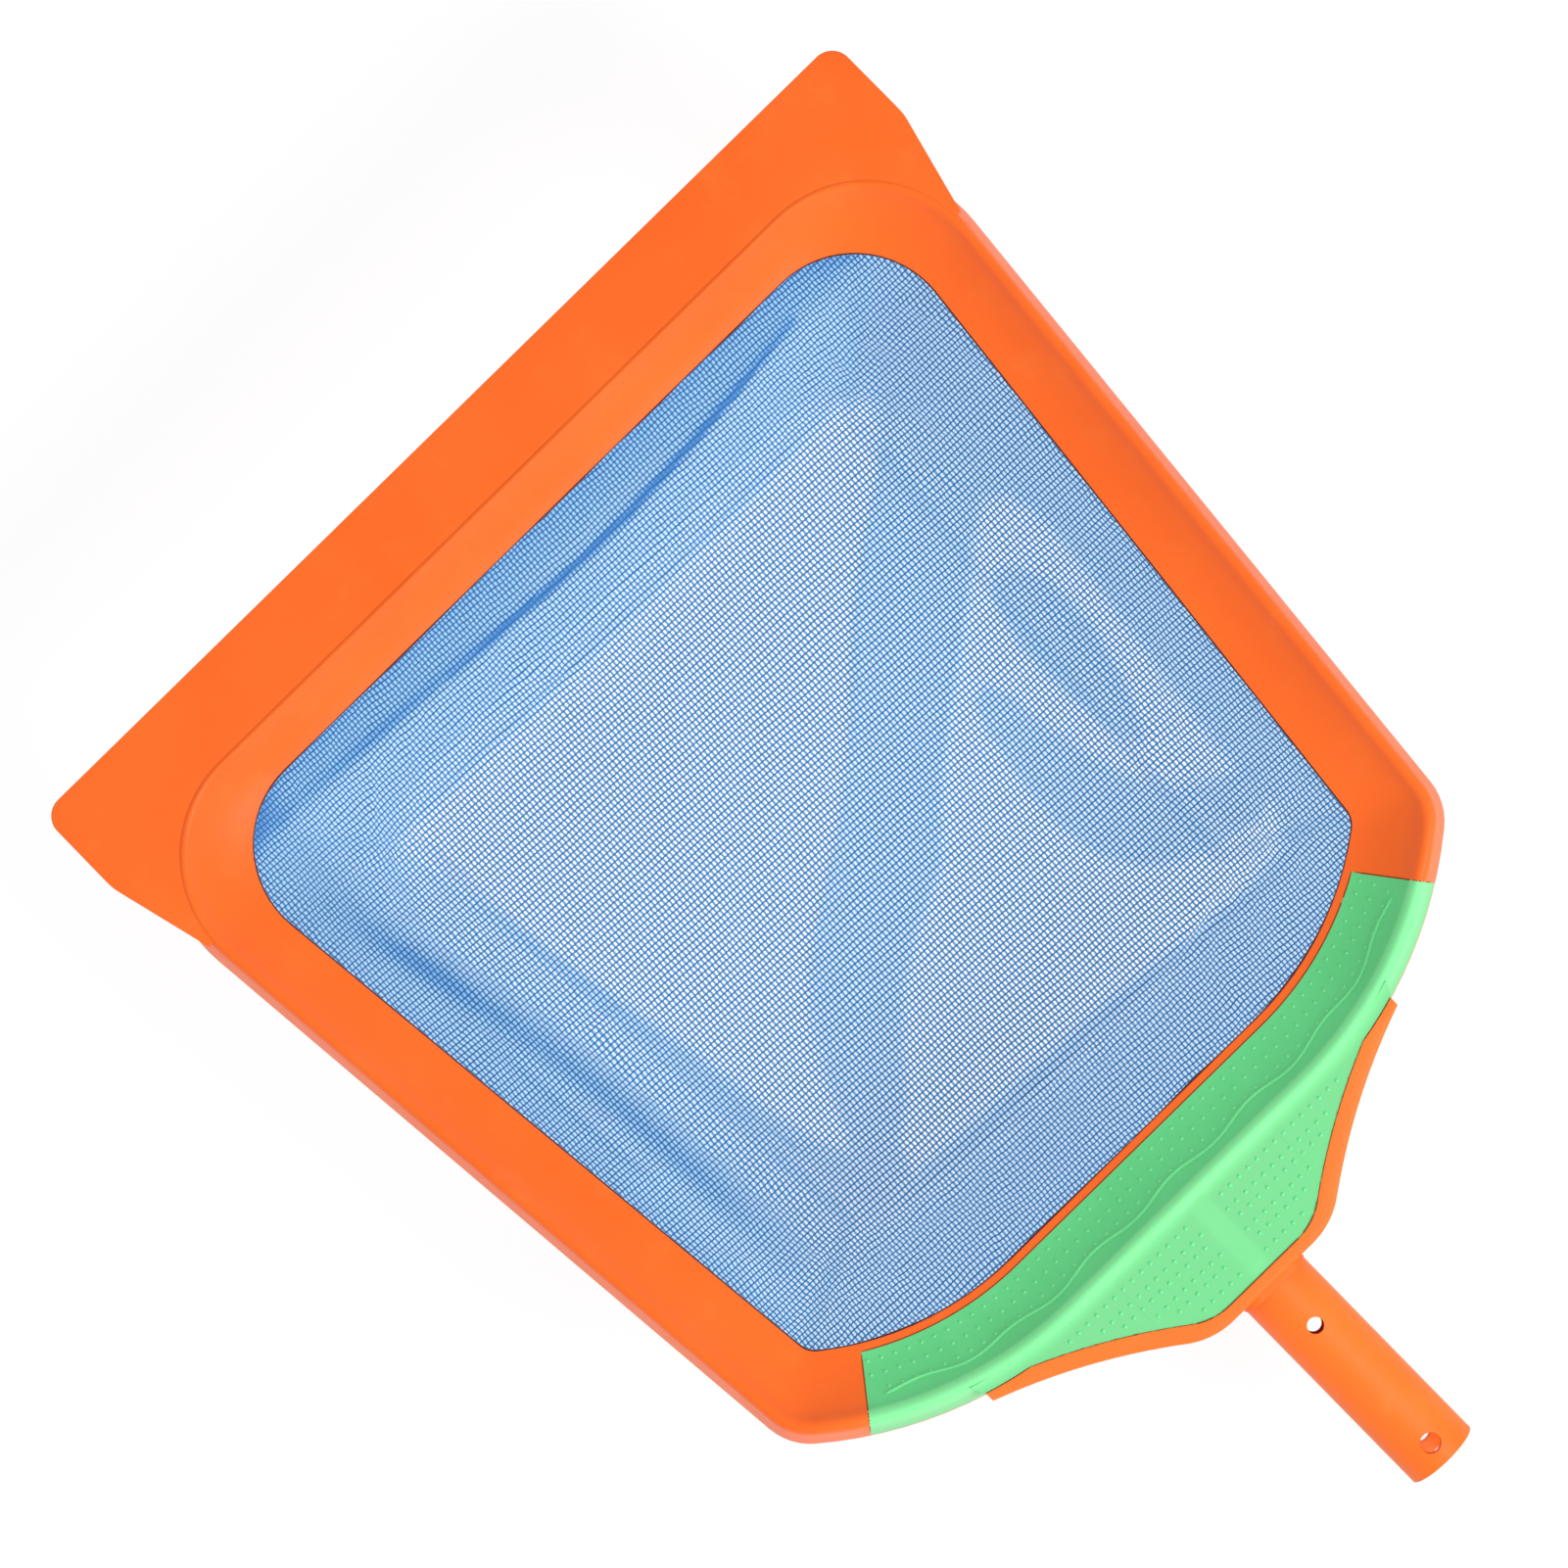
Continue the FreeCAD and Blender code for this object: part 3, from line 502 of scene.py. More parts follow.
def tube(bm, path, radius, sides=8, flat=1.0):
    """A bead along a path of places and surface normals. Its ends taper, and flat lowers it."""
    rings = []
    for k, (p, n) in enumerate(path):
        along = (path[min(k + 1, len(path) - 1)][0] - path[max(k - 1, 0)][0]).normalized()
        side = along.cross(n).normalized()
        up = side.cross(along).normalized()
        from_end = min(k, len(path) - 1 - k)
        r = radius * min(1.0, TUBE_END + TUBE_TAPER * from_end)
        rings.append([
            bm.verts.new(p + side * (r * math.cos(t)) + up * (r * flat * math.sin(t)))
            for t in around(sides)
        ])
    for a, b in zip(rings, rings[1:]):
        join(bm, a, b)
    bm.faces.new(rings[0][::-1])
    bm.faces.new(rings[-1])


def on_surface(tree, points):
    """Places and normals on a surface under some plan points."""
    found = [dropped(tree, x, y) for x, y in points]
    return [(hit, normal) for hit, normal in found if hit is not None]


def mirrored(right, step):
    """A line from left to right, given its right-hand half, with a point about every step."""
    line = np.vstack([right[::-1] * [-1, 1], right[1:]])
    length = np.linalg.norm(np.diff(line, axis=0), axis=1).sum()
    return resampled(line, int(length / step))


REAR_ENDS = 200.0         # only what lies behind this Y is the rear of an outline


def rear_arch(o, half_width, step=1.0):
    """The rear part of an outline from left to right, as far as half_width each way."""
    half, _, _ = half_outline(o, 1.0)
    return mirrored(half[(half[:, 0] <= half_width) & (half[:, 1] < REAR_ENDS)], step)


WAVE_INSET = 7.6          # within the ridge's line
WAVE_HALF = 128.5         # half of its reach across
WAVE_HEIGHT = 1.15
WAVE_LENGTH = 39.0
WAVE_RADIUS = 0.6


def wavy_line():
    """The thin raised line that waves along the inner side of the ridge."""
    base = rear_arch(grown(CREST, -WAVE_INSET), WAVE_HALF)
    tangent = np.gradient(base, axis=0)
    tangent /= np.linalg.norm(tangent, axis=1)[:, None]
    across = np.stack([-tangent[:, 1], tangent[:, 0]], 1)
    run = np.arange(len(base)) - len(base) / 2
    wave = WAVE_HEIGHT * np.cos(2 * math.pi * run / WAVE_LENGTH)
    return base + across * wave[:, None]


DOME_SIDES = 10
DOME_RINGS = ((1.0, -0.15), (0.82, 0.45), (0.5, 0.85))   # shares of its radius and of its height


def dome(bm, p, n, radius, height):
    """One small raised dot."""
    side = n.orthogonal().normalized()
    other = n.cross(side)
    rings = []
    for share, rise in DOME_RINGS:
        rings.append([
            bm.verts.new(p + (side * math.cos(t) + other * math.sin(t)) * radius * share
                         + n * height * rise)
            for t in around(DOME_SIDES)
        ])
    top = bm.verts.new(p + n * height)
    for a, b in zip(rings, rings[1:]):
        join(bm, a, b)
    for i in range(DOME_SIDES):
        bm.faces.new((rings[-1][i], rings[-1][(i + 1) % DOME_SIDES], top))


# The dots on the slope, in millimetres
DOT_RADIUS = 0.78
DOT_HEIGHT = 0.4
DOT_PITCH = 5.2
ROW_STAGGER = 0.35        # how far each row starts after the one before, as a share of the pitch
ROW_STRETCH = 0.1         # how much wider each row's pitch is
SLOPE_ROWS = (6.6, 11.8, 17.1)   # outside the mouth's edge
SLOPE_HALF = 126.0        # half of the first row's reach across
SLOPE_WIDEN = 2.0         # how much further each next row reaches
SLOPE_SPARE = 8.0         # how much longer the rows' lines are than the first row
FINE_STEP = 0.2


def slope_dots():
    """Staggered rows on the inner slope of the cover."""
    places = []
    for row, outside in enumerate(SLOPE_ROWS):
        line = rear_arch(grown(MOUTH, outside), SLOPE_HALF + SLOPE_SPARE, FINE_STEP)
        start = ROW_STAGGER * row * DOT_PITCH
        run = np.arange(start, len(line) * FINE_STEP, DOT_PITCH + ROW_STRETCH * row)
        picked = line[np.minimum((run / FINE_STEP).astype(int), len(line) - 1)]
        places += [tuple(p) for p in picked if abs(p[0]) < SLOPE_HALF + SLOPE_WIDEN * row]
    return places


# The yoke's outline in its own plane, which is tilted: a flat, an arc that turns up and a hollow one
TILT = math.radians(10.0)
RIM_WIDTH = 5.0
YOKE_FLAT_HALF = 17.0
YOKE_CORNER_R = 30.0
YOKE_HOLLOW_R = 250.0
YOKE_UP = math.radians(37.0)
YOKE_END = math.radians(21.0)


def pad_edge(inset):
    """A line in plan that is inset from the yoke's outline. The pad's edge is one of them."""
    corner_r, hollow_r = YOKE_CORNER_R - inset, YOKE_HOLLOW_R + inset
    centre = np.array([YOKE_FLAT_HALF, inset + corner_r])

    def heading(angle):
        return np.array([math.sin(angle), -math.cos(angle)])

    turn = centre + heading(YOKE_UP) * corner_r
    hollow = turn + heading(YOKE_UP) * hollow_r
    rise = [centre + heading(t) * corner_r for t in np.linspace(0, YOKE_UP, 14)]
    flare = [hollow - heading(t) * hollow_r for t in np.linspace(YOKE_UP, YOKE_END, 20)]
    right = np.array([(0.0, inset)] + rise + flare[1:]) * [1, math.cos(TILT)]
    return mirrored(right, 1.0)


# The pad's dots and strips, in millimetres
PAD_DOT_RADIUS = 0.9
PAD_DOT_HEIGHT = 0.6
PAD_PITCH = 4.5
PAD_ROWS = (36.3, 30.6, 26.2, 20.6, 16.2, 10.4)
PAD_DOTS_EACH_SIDE = 18
PAD_MARGIN = 3.4          # between the pad's edge and its dots
PAD_TOP = 37.5            # the dots end here, short of the ridge
# Place across, half width and height
PAD_STRIPS = ((0.0, 5.0, 0.2), (-39.5, 2.2, 0.14), (40.5, 2.2, 0.14))
STRIP_TOP = 41.5
STRIP_MARGIN = 1.2        # between the pad's edge and the line that the strips start from
STRIP_START = 0.6         # how far past that line they start
STRIP_FADE_IN = 3.0
STRIP_FADE_OUT = 4.0
STRIP_EDGE = 0.35         # the share of its half width over which a strip rises
STRIP_ROWS = 40
STRIP_COLUMNS = 15
STRIP_SUNK = 0.02         # how far its edges lie under the pad's surface


def pad_dots():
    """Staggered rows on the pad of the yoke, clear of its middle strip."""
    edge = pad_edge(RIM_WIDTH + PAD_MARGIN)
    edge = edge[edge[:, 1] < PAD_TOP]
    places = [
        (k * PAD_PITCH + (PAD_PITCH / 2 if row % 2 else 0.0), y)
        for row, y in enumerate(PAD_ROWS) for k in range(-PAD_DOTS_EACH_SIDE, PAD_DOTS_EACH_SIDE + 1)
    ]
    middle, half, _ = PAD_STRIPS[0]
    inside, _ = side_of(np.array(places), edge)
    return [p for p, d in zip(places, inside) if d < 0 and abs(p[0] - middle) > half]


def cover_dots():
    """All the small raised dots of the soft cover."""
    bm = bmesh.new()
    rows = ((slope_dots(), DOT_RADIUS, DOT_HEIGHT), (pad_dots(), PAD_DOT_RADIUS, PAD_DOT_HEIGHT))
    for places, radius, height in rows:
        for x, y in places:
            hit, normal = dropped(cover_tree, x, y)
            if hit is not None:
                dome(bm, hit, normal, radius * MM, height * MM)
    from_bmesh("cover_dots", bm, GREEN_RAISED_HIGHLIGHT)


def cover_wavy_line():
    """The raised wavy line as a bead on the cover."""
    bm = bmesh.new()
    tube(bm, on_surface(cover_tree, wavy_line()), WAVE_RADIUS * MM)
    from_bmesh("cover_wavy_line", bm, GREEN_RAISED_HIGHLIGHT)


def cover_strips():
    """Low raised strips that run up the pad to the ridge, one in the middle and one each side."""
    bm = bmesh.new()
    edge = pad_edge(RIM_WIDTH + STRIP_MARGIN)
    for centre, half, height in PAD_STRIPS:
        start = edge[np.argmin(np.abs(edge[:, 0] - centre)), 1] + STRIP_START
        rows = []
        for y in np.linspace(start, STRIP_TOP, STRIP_ROWS):
            row = []
            for u in np.linspace(-1, 1, STRIP_COLUMNS):
                hit, normal = dropped(cover_tree, centre + half * u, y)
                fade = (smooth_step(y, start, start + STRIP_FADE_IN)
                        * smooth_step(STRIP_TOP - y, 0, STRIP_FADE_OUT))
                lift = height * (smooth_step(1 - abs(u), 0, STRIP_EDGE) * fade) - STRIP_SUNK
                row.append(bm.verts.new(hit + normal * (lift * MM)))
            rows.append(row)
        for a, b in zip(rows, rows[1:]):
            for i in range(len(a) - 1):
                bm.faces.new((a[i], a[i + 1], b[i + 1], b[i]))
    from_bmesh("cover_strips", bm, GREEN)


# The joints between the cover and the orange pieces, in millimetres
INNER_SEAM = 2.8          # outside the mouth's edge
INNER_SEAM_HALF = 124.6
END_SEAM = ((124.9, 85.4), (142.3, 63.0))   # its two ends on the right
PAD_SEAM_HALF = 84.0      # up to where the yoke's rim meets the frame
SEAM_RADIUS = 0.28
PAD_SEAM_RADIUS = 0.2


def cover_seams():
    """Thin dark beads round the soft cover, along its joints: painted shadow in the gaps."""
    paths = [rear_arch(grown(MOUTH, INNER_SEAM), INNER_SEAM_HALF)]
    paths += [resampled(np.array(END_SEAM) * [side, 1], 24) for side in (-1, 1)]
    bm = bmesh.new()
    for path in paths:
        tube(bm, on_surface(rigid_tree, path), SEAM_RADIUS * MM, 6, 0.35)
    edge = pad_edge(RIM_WIDTH)
    edge = edge[np.abs(edge[:, 0]) < PAD_SEAM_HALF]
    tube(bm, on_surface(rigid_tree, edge), PAD_SEAM_RADIUS * MM, 6, 0.5)
    from_bmesh("cover_seams", bm, SEAM)


cover_dots()
cover_wavy_line()
cover_strips()
cover_seams()

# ---------------------------------------------------------------- the net
NET_ROWS = 116
NET_COLUMNS = 124
NET_EDGE = grown(MOUTH, 1.25)
FLOOR_FADE = 45.0         # how far the wall's curve reaches into the floor, in millimetres
WALL_EASE = 0.16          # how softly the wall meets the floor
WALL_WEAVE = 0.15         # how much of the wall's extra length the weave's coordinates take


def patch(columns, rows):
    """A grid of plan points over the mouth: its sides follow the mouth's edge."""
    half, rear, front = half_outline(NET_EDGE, 1.0)
    left = half * [-1, 1]
    bottom = resampled(np.vstack([left[: rear + 1][::-1], half[1: rear + 1]]), columns)
    top = resampled(np.vstack([left[front:], half[front:-1][::-1]]), columns)
    right_side = resampled(half[rear: front + 1], rows)
    left_side = right_side * [-1, 1]
    s = np.linspace(0, 1, columns)[None, :, None]
    t = np.linspace(0, 1, rows)[:, None, None]
    blend = ((1 - t) * bottom[None] + t * top[None]
             + (1 - s) * left_side[:, None] + s * right_side[:, None])
    corners = ((1 - s) * (1 - t) * bottom[0] + s * (1 - t) * bottom[-1]
               + (1 - s) * t * top[0] + s * t * top[-1])
    return (blend - corners).reshape(-1, 2)


def wall_share(plan):
    """How far up the bag's wall each plan point is, 0 at the floor's edge and 1 at the hem.

    Also gives how far outside the floor's edge and within the mouth's it lies, and the nearest place
    on the floor's edge.
    """
    from_mouth, _ = side_of(plan, closed(NET_EDGE))
    from_floor, near = side_of(plan, closed(BAG_FLOOR))
    up = from_floor / np.maximum(from_floor - np.minimum(from_mouth, 0), 1e-6)
    share = np.where(from_floor > 0, np.clip(up, 0, 1), from_floor / FLOOR_FADE)
    return share, from_floor, -from_mouth, near


def soft_ramp(q):
    """About 0 below 0, about q above it, and smooth between."""
    return 0.5 * (q + np.sqrt(q * q + WALL_EASE * WALL_EASE))


def bag_points():
    """The net at rest, before it hangs: plan grid, heights and the weave's coordinates."""
    plan = patch(NET_COLUMNS, NET_ROWS)
    share, outside, _, near = wall_share(plan)
    z = HEM_Z - BAG_DEPTH * (1 - soft_ramp(share) / soft_ramp(1.0))
    away = np.where(outside[:, None] > 0, plan - near, 0) * WALL_WEAVE
    return plan, z, plan + away


def places_of(mesh):
    """The places of a mesh's vertices, as one flat run of numbers."""
    co = np.empty(len(mesh.vertices) * 3, np.float32)
    mesh.vertices.foreach_get("co", co)
    return co


def grid_mesh(name, points, uvs, columns, rows):
    """A mesh of a grid of points, with its weave coordinates."""
    mesh = bpy.data.meshes.new(name)
    faces = [
        (r * columns + c, r * columns + c + 1, (r + 1) * columns + c + 1, (r + 1) * columns + c)
        for r in range(rows - 1) for c in range(columns - 1)
    ]
    mesh.from_pydata([tuple(p * MM) for p in points], [], faces)
    layer = mesh.uv_layers.new(name="weave")
    loops = np.array([loop.vertex_index for loop in mesh.loops])
    layer.data.foreach_set("uv", uvs[loops].astype(np.float32).ravel())
    mesh.polygons.foreach_set("use_smooth", [True] * len(mesh.polygons))
    return mesh


# Folds of the limp net, in plan, in millimetres
LIGHT_FRONT = [(-117, 337), (-40, 336), (60, 336), (112, 338), (119, 331), (112, 316), (98, 305),
               (80, 293), (60, 277), (42, 260), (22, 240), (0, 224), (-20, 211), (-40, 197),
               (-54, 182), (-65, 165), (-73, 146), (-78, 140), (-83, 150), (-88, 175), (-92, 205),
               (-99, 240), (-106, 275), (-112, 310)]
LIGHT_REAR = [(-62, 129), (-50, 137), (-38, 151), (-22, 167), (-2, 180), (20, 190), (32, 203),
              (45, 215), (62, 228), (82, 243), (100, 257), (114, 269), (125, 276), (133, 270),
              (135, 250), (132, 225), (128, 195), (124, 165), (121, 140), (122, 122), (116, 110),
              (95, 107), (60, 110), (20, 114), (-30, 115), (-66, 117)]
CRESCENT = [(66, 214), (71, 226), (78, 228), (83, 218), (84, 200), (87, 180), (92, 165), (100, 153),
            (112, 143), (124, 138), (128, 126), (115, 121), (98, 124), (84, 130), (72, 139), (64, 153),
            (61, 172), (63, 196)]
LENS = [(110, 256), (117, 252), (122, 238), (122, 215), (116, 192), (108, 173), (103, 170), (99, 182),
        (96, 205), (96, 228), (100, 245)]
# Creases: their points, width, how far they close the holes (the folded fabric, with painted shade in
# the crease), and height
CREASES = [
    ([(-150, 336), (-146, 318), (-140, 296), (-133, 262), (-127, 222), (-124, 190), (-122, 160),
      (-121, 128)], 10.0, 0.36, 2.0),
    ([(-143, 262), (-141, 232), (-138, 200), (-134, 175)], 3.0, 0.16, 1.0),
    ([(-118, 325), (-109, 285), (-102, 245), (-97, 205), (-94, 170), (-88, 140), (-80, 118)],
     6.0, 0.08, 1.0),
    ([(130, 327), (108, 312), (84, 296), (62, 279), (44, 262), (24, 243), (2, 226), (-20, 212),
      (-40, 198), (-56, 182), (-67, 165), (-73, 148)], 4.0, 0.14, 1.4),
    ([(122, 276), (100, 258), (80, 243), (60, 228), (44, 214), (30, 200), (16, 189), (-4, 179)],
     3.0, 0.03, 0.8),
    ([(84, 205), (87, 182), (93, 165), (103, 152), (116, 142), (130, 132)], 4.0, 0.12, 1.2),
    ([(62, 200), (61, 172), (66, 150), (78, 134), (96, 124), (112, 121)], 3.5, 0.05, 0.8),
    ([(-120, 340), (-60, 338), (0, 337), (60, 338), (120, 341)], 4.0, 0.1, 1.0),
    ([(-75, 112), (-20, 110), (40, 108), (100, 103), (124, 106)], 4.0, 0.1, 1.0),
    ([(-140, 371), (-100, 369), (-40, 366), (10, 363), (60, 365), (118, 371)], 5.0, 0.3, 3.5),
    ([(-60, 365.6), (-30, 364.6), (0, 363), (30, 363), (68, 365.4), (96, 368), (120, 371)],
     2.2, 0.62, 0.8),
]
# Broad painted shade on the net, up its walls, near the hem, under the frame's front bead and towards
# its rear and sides: how far they close the holes, what they go by, and where they start and are full
PAINTED_SHADES = [
    (0.06, "wall", 0.0, 0.3),
    (0.1, "within", 8.0, 1.0),
    (0.26, "y", 364, 374),
    (0.04, "x", 126, 146),
    (0.04, "y", 112, 80),
    (0.16, "x", -130, -146),
]
DOUBLED = 0.28            # how far the holes are closed outside the light places
DOUBLED_PATCHES = ((CRESCENT, 0.27), (LENS, 0.3))
DOUBLED_EDGE = (-3.0, 3.0)       # the soft edge of the light places, in millimetres outside them
PATCH_EDGE = (-3.0, 2.0)
DOUBLED_HEIGHT = 1.2      # how far the floor stands up there, in millimetres
DOUBLED_ENDS = (0.0, 0.2)        # and the share of the wall over which that ends
FRONT_WALL = 0.06         # how much more the front wall closes, from which share and which Y
FRONT_WALL_SHARE = (0.05, 0.3)
FRONT_WALL_Y = (300, 345)
CREASE_END = 0.22         # the share of a crease's length over which it fades at each end
CREASE_LEAST = 0.25       # how much of its shade is left at its very ends
MOST_CLOSED = 0.97


def fold_amount(plan):
    """How far the net's holes are closed at each plan point, and the height of its creases."""
    share, _, within, _ = wall_share(plan)
    light = np.zeros(len(plan))
    for poly in (LIGHT_FRONT, LIGHT_REAR):
        d, _ = side_of(plan, np.array(poly, float))
        light = np.maximum(light, 1 - smooth_step(d, *DOUBLED_EDGE))
    closed_by = DOUBLED * (1 - light)
    for poly, amount in DOUBLED_PATCHES:
        d, _ = side_of(plan, np.array(poly, float))
        closed_by = np.maximum(closed_by, amount * (1 - smooth_step(d, *PATCH_EDGE)))
    measures = {"wall": share, "within": within, "x": plan[:, 0], "y": plan[:, 1]}
    # Painted shade on the net, from the table of broad shades
    for amount, key, start, full in PAINTED_SHADES:
        closed_by += amount * smooth_step(measures[key], start, full)
    front = smooth_step(share, *FRONT_WALL_SHARE) * smooth_step(plan[:, 1], *FRONT_WALL_Y)
    closed_by += FRONT_WALL * front
    height = DOUBLED_HEIGHT * (1 - light) * (1 - smooth_step(share, *DOUBLED_ENDS))
    for points, width, amount, rise in CREASES:
        d, at = along_line(plan, np.array(points, float))
        ends = smooth_step(np.minimum(at, 1 - at), 0.0, CREASE_END)
        core = 1 - smooth_step(d, 0.0, width)
        closed_by += amount * core * (CREASE_LEAST + (1 - CREASE_LEAST) * ends)
        height += rise * core * ends
    return np.clip(closed_by, 0, MOST_CLOSED), height


HANG_FRAMES = 20
CLOTH = dict(quality=6, mass=0.0006, tension_stiffness=15, compression_stiffness=15, shear_stiffness=5,
             bending_stiffness=0.03, tension_damping=12, compression_damping=12, air_damping=4,
             vertex_group_mass="pin", shrink_min=-0.006)


def hang(obj):
    """Lets the net hang from its hem by a cloth simulation, and applies the result."""
    group = obj.vertex_groups.new(name="pin")
    boundary = [
        r * NET_COLUMNS + c for r in range(NET_ROWS) for c in range(NET_COLUMNS)
        if r in (0, NET_ROWS - 1) or c in (0, NET_COLUMNS - 1)
    ]
    group.add(boundary, 1.0, "REPLACE")
    cloth = obj.modifiers.new("Cloth", "CLOTH")
    for key, value in CLOTH.items():
        setattr(cloth.settings, key, value)
    cloth.collision_settings.use_collision = False
    cloth.collision_settings.use_self_collision = False
    scene = bpy.context.scene
    scene.frame_start, scene.frame_end = 1, HANG_FRAMES
    cloth.point_cache.frame_start, cloth.point_cache.frame_end = 1, HANG_FRAMES
    for number in range(1, HANG_FRAMES + 1):
        scene.frame_set(number)
    settled = obj.evaluated_get(bpy.context.evaluated_depsgraph_get())
    co = places_of(settled.data)
    obj.modifiers.remove(cloth)
    obj.vertex_groups.clear()
    obj.data.vertices.foreach_set("co", co)
    scene.frame_set(1)


RUFFLE_HEIGHT = 1.2
RUFFLE_LEAST = 0.25       # its share on the floor and at the hem, and slack adds to it
RUFFLE_ENDS = 0.97        # the share of the wall above which there is none
SUBDIVIDE_SMOOTH = 0.6


def ruffled(points):
    """Waves of a few centimetres, about 1 high, so that the slack has somewhere to go."""
    x, y = points[:, 0], points[:, 1]
    bend = np.sin(x / 17.0 + 1.3 * np.sin(y / 41.0)) * np.sin(y / 23.0 + 0.8 * np.cos(x / 37.0))
    bend += 0.5 * np.sin((x - y) / 11.0 + np.cos(x / 29.0))
    return bend


def net_bag():
    """The net as one sheet: a grid, pinned at its hem, that has hung."""
    plan, z, uvs = bag_points()
    share, _, _, _ = wall_share(plan)
    slack = np.clip(share * (1 - share) * 4, 0, 1)
    z = z + RUFFLE_HEIGHT * ruffled(plan) * (RUFFLE_LEAST + slack) * (share < RUFFLE_ENDS)
    mesh = grid_mesh("net_bag", np.column_stack([plan, z]), uvs, NET_COLUMNS, NET_ROWS)
    obj = new_object("net_bag", mesh, NET,
                     ["net_main_panel", "net_gusset_left", "net_gusset_right"])
    hang(obj)
    return obj


def finely_folded(obj):
    """Subdivides the net, raises its creases and stores how far its holes are closed."""
    bm = bmesh.new()
    bm.from_mesh(obj.data)
    bmesh.ops.subdivide_edges(bm, edges=bm.edges, cuts=1, use_grid_fill=True,
                              smooth=SUBDIVIDE_SMOOTH)
    bm.to_mesh(obj.data)
    bm.free()
    co = places_of(obj.data).reshape(-1, 3).astype(float)
    amount, crease = fold_amount(co[:, :2] / MM)
    co[:, 2] += crease * MM
    obj.data.vertices.foreach_set("co", co.astype(np.float32).ravel())
    fold_and_shade = obj.data.attributes.new("fold_and_shade", "FLOAT", "POINT")
    fold_and_shade.data.foreach_set("value", amount.astype(np.float32))
    obj.data.polygons.foreach_set("use_smooth", [True] * len(obj.data.polygons))
    obj.data.update()


net = net_bag()
finely_folded(net)

# ---------------------------------------------------------------- hem and seam tapes
RIBBON_SECTION = ((-0.5, 0.0), (0.0, 0.12), (0.5, 0.0), (0.48, 1.0), (0.0, 1.12), (-0.48, 1.0))
LOOP_GAP = 0.004          # ends nearer than this, in metres, are joined


def ribbon(name, path, width, thick, material, nodes):
    """A flat tape along a path of places, normals and sideways directions."""
    bm = bmesh.new()
    rings = [
        [bm.verts.new(p + side * (width * u) + n * (thick * v)) for u, v in RIBBON_SECTION]
        for p, n, side in path
    ]
    for a, b in zip(rings, rings[1:]):
        join(bm, a, b)
    if (path[0][0] - path[-1][0]).length < LOOP_GAP:
        join(bm, rings[-1], rings[0])
    else:
        bm.faces.new(rings[0][::-1])
        bm.faces.new(rings[-1])
    return from_bmesh(name, bm, material, nodes=nodes)


net_tree = surface_of(net)
SEAM_PULL = 0.015         # how far the seam's ends lie from the mouth's edge to its middle, as a share
SEAM_POINTS = 150
SEAM_TAPE = dict(width=0.006, thick=0.0006)
SEAM_TAPE_OFF = 0.0007    # how far the tape stands off the net


def seam_line(x_sign):
    """A side seam in plan, from the hem's front corner round the floor to its rear corner."""
    mouth, rear, front = half_outline(MOUTH)
    floor, floor_rear, floor_front = half_outline(BAG_FLOOR)
    ends = mouth[[front, rear]] * (1 - SEAM_PULL) + CENTRE * SEAM_PULL
    line = np.array([ends[0], floor[floor_front], floor[floor_rear], ends[1]])
    return resampled(line * [x_sign, 1], SEAM_POINTS)


def seam_tape(x_sign, name, node):
    """The tape sewn over a side seam, on the outside of the bag."""
    found = on_surface(net_tree, seam_line(x_sign))
    path = []
    for k, (p, n) in enumerate(found):
        along = (found[min(k + 2, len(found) - 1)][0] - found[max(k - 2, 0)][0]).normalized()
        out = -n if n.z > 0 else n
        side = along.cross(out).normalized()
        path.append((p + out * SEAM_TAPE_OFF, out, side))
    return ribbon(name, path, material=BINDING, nodes=[node], **SEAM_TAPE)


left_tape = seam_tape(-1, "seam_tape_left", "seam_binding_left")
right_tape = seam_tape(1, "seam_tape_right", "seam_binding_right")

UP = Vector((0, 0, 1))
# The hem's tape and the dark piping at its edge, which is painted shadow under the frame's bead, in
# millimetres: outside the mouth's edge, and height
HEM_BAND_OUT, HEM_BAND_Z = 5.6, 5.2
HEM_BAND_POINTS = 420
HEM_BAND = dict(width=0.0052, thick=0.00055)
HEM_RIPPLE, HEM_RIPPLE_TURN = 0.05, 1.7   # its height, and its turn in radians from point to point
PIPING_OUT, PIPING_Z = -0.15, 4.75
PIPING_POINTS = 900
PIPING_RADIUS = 0.42
PIPING_UNEVEN = 0.16


def loop_round(outside, count):
    """Evenly spaced plan points round the mouth, a distance outside its edge."""
    line = closed(grown(MOUTH, outside))
    return resampled(np.vstack([line, line[:1]]), count)[:-1]


def hem_band():
    """The tape of the hem, in its slot between the frame and the retainer ring."""
    line = loop_round(HEM_BAND_OUT, HEM_BAND_POINTS)
    path = []
    for k, (x, y) in enumerate(line):
        ahead, back = line[(k + 1) % len(line)], line[k - 1]
        along = Vector((ahead[0] - back[0], ahead[1] - back[1], 0)).normalized()
        ripple = HEM_RIPPLE * math.sin(k * HEM_RIPPLE_TURN)
        place = Vector((x, y, HEM_BAND_Z + ripple)) * MM
        path.append((place, UP, Vector((along.y, -along.x, 0))))
    return ribbon("hem_band", path, material=HEM, nodes=["hem_tape"], **HEM_BAND)


def hem_shadow_piping():
    """A narrow dark bead just inside the frame's bead: painted shadow under the bead, where the hem
    meets it.
    """
    path = []
    for k, (x, y) in enumerate(loop_round(PIPING_OUT, PIPING_POINTS)):
        uneven = PIPING_UNEVEN * math.sin(k / 7.0 + 2.0 * math.sin(k / 31.0))
        path.append((Vector((x, y - uneven, PIPING_Z)) * MM, UP))
    bm = bmesh.new()
    tube(bm, path + path[:1], PIPING_RADIUS * MM, 6, 0.8)
    return from_bmesh("hem_shadow_piping", bm, PIPING_SHADOW)


hem = hem_band()
piping = hem_shadow_piping()

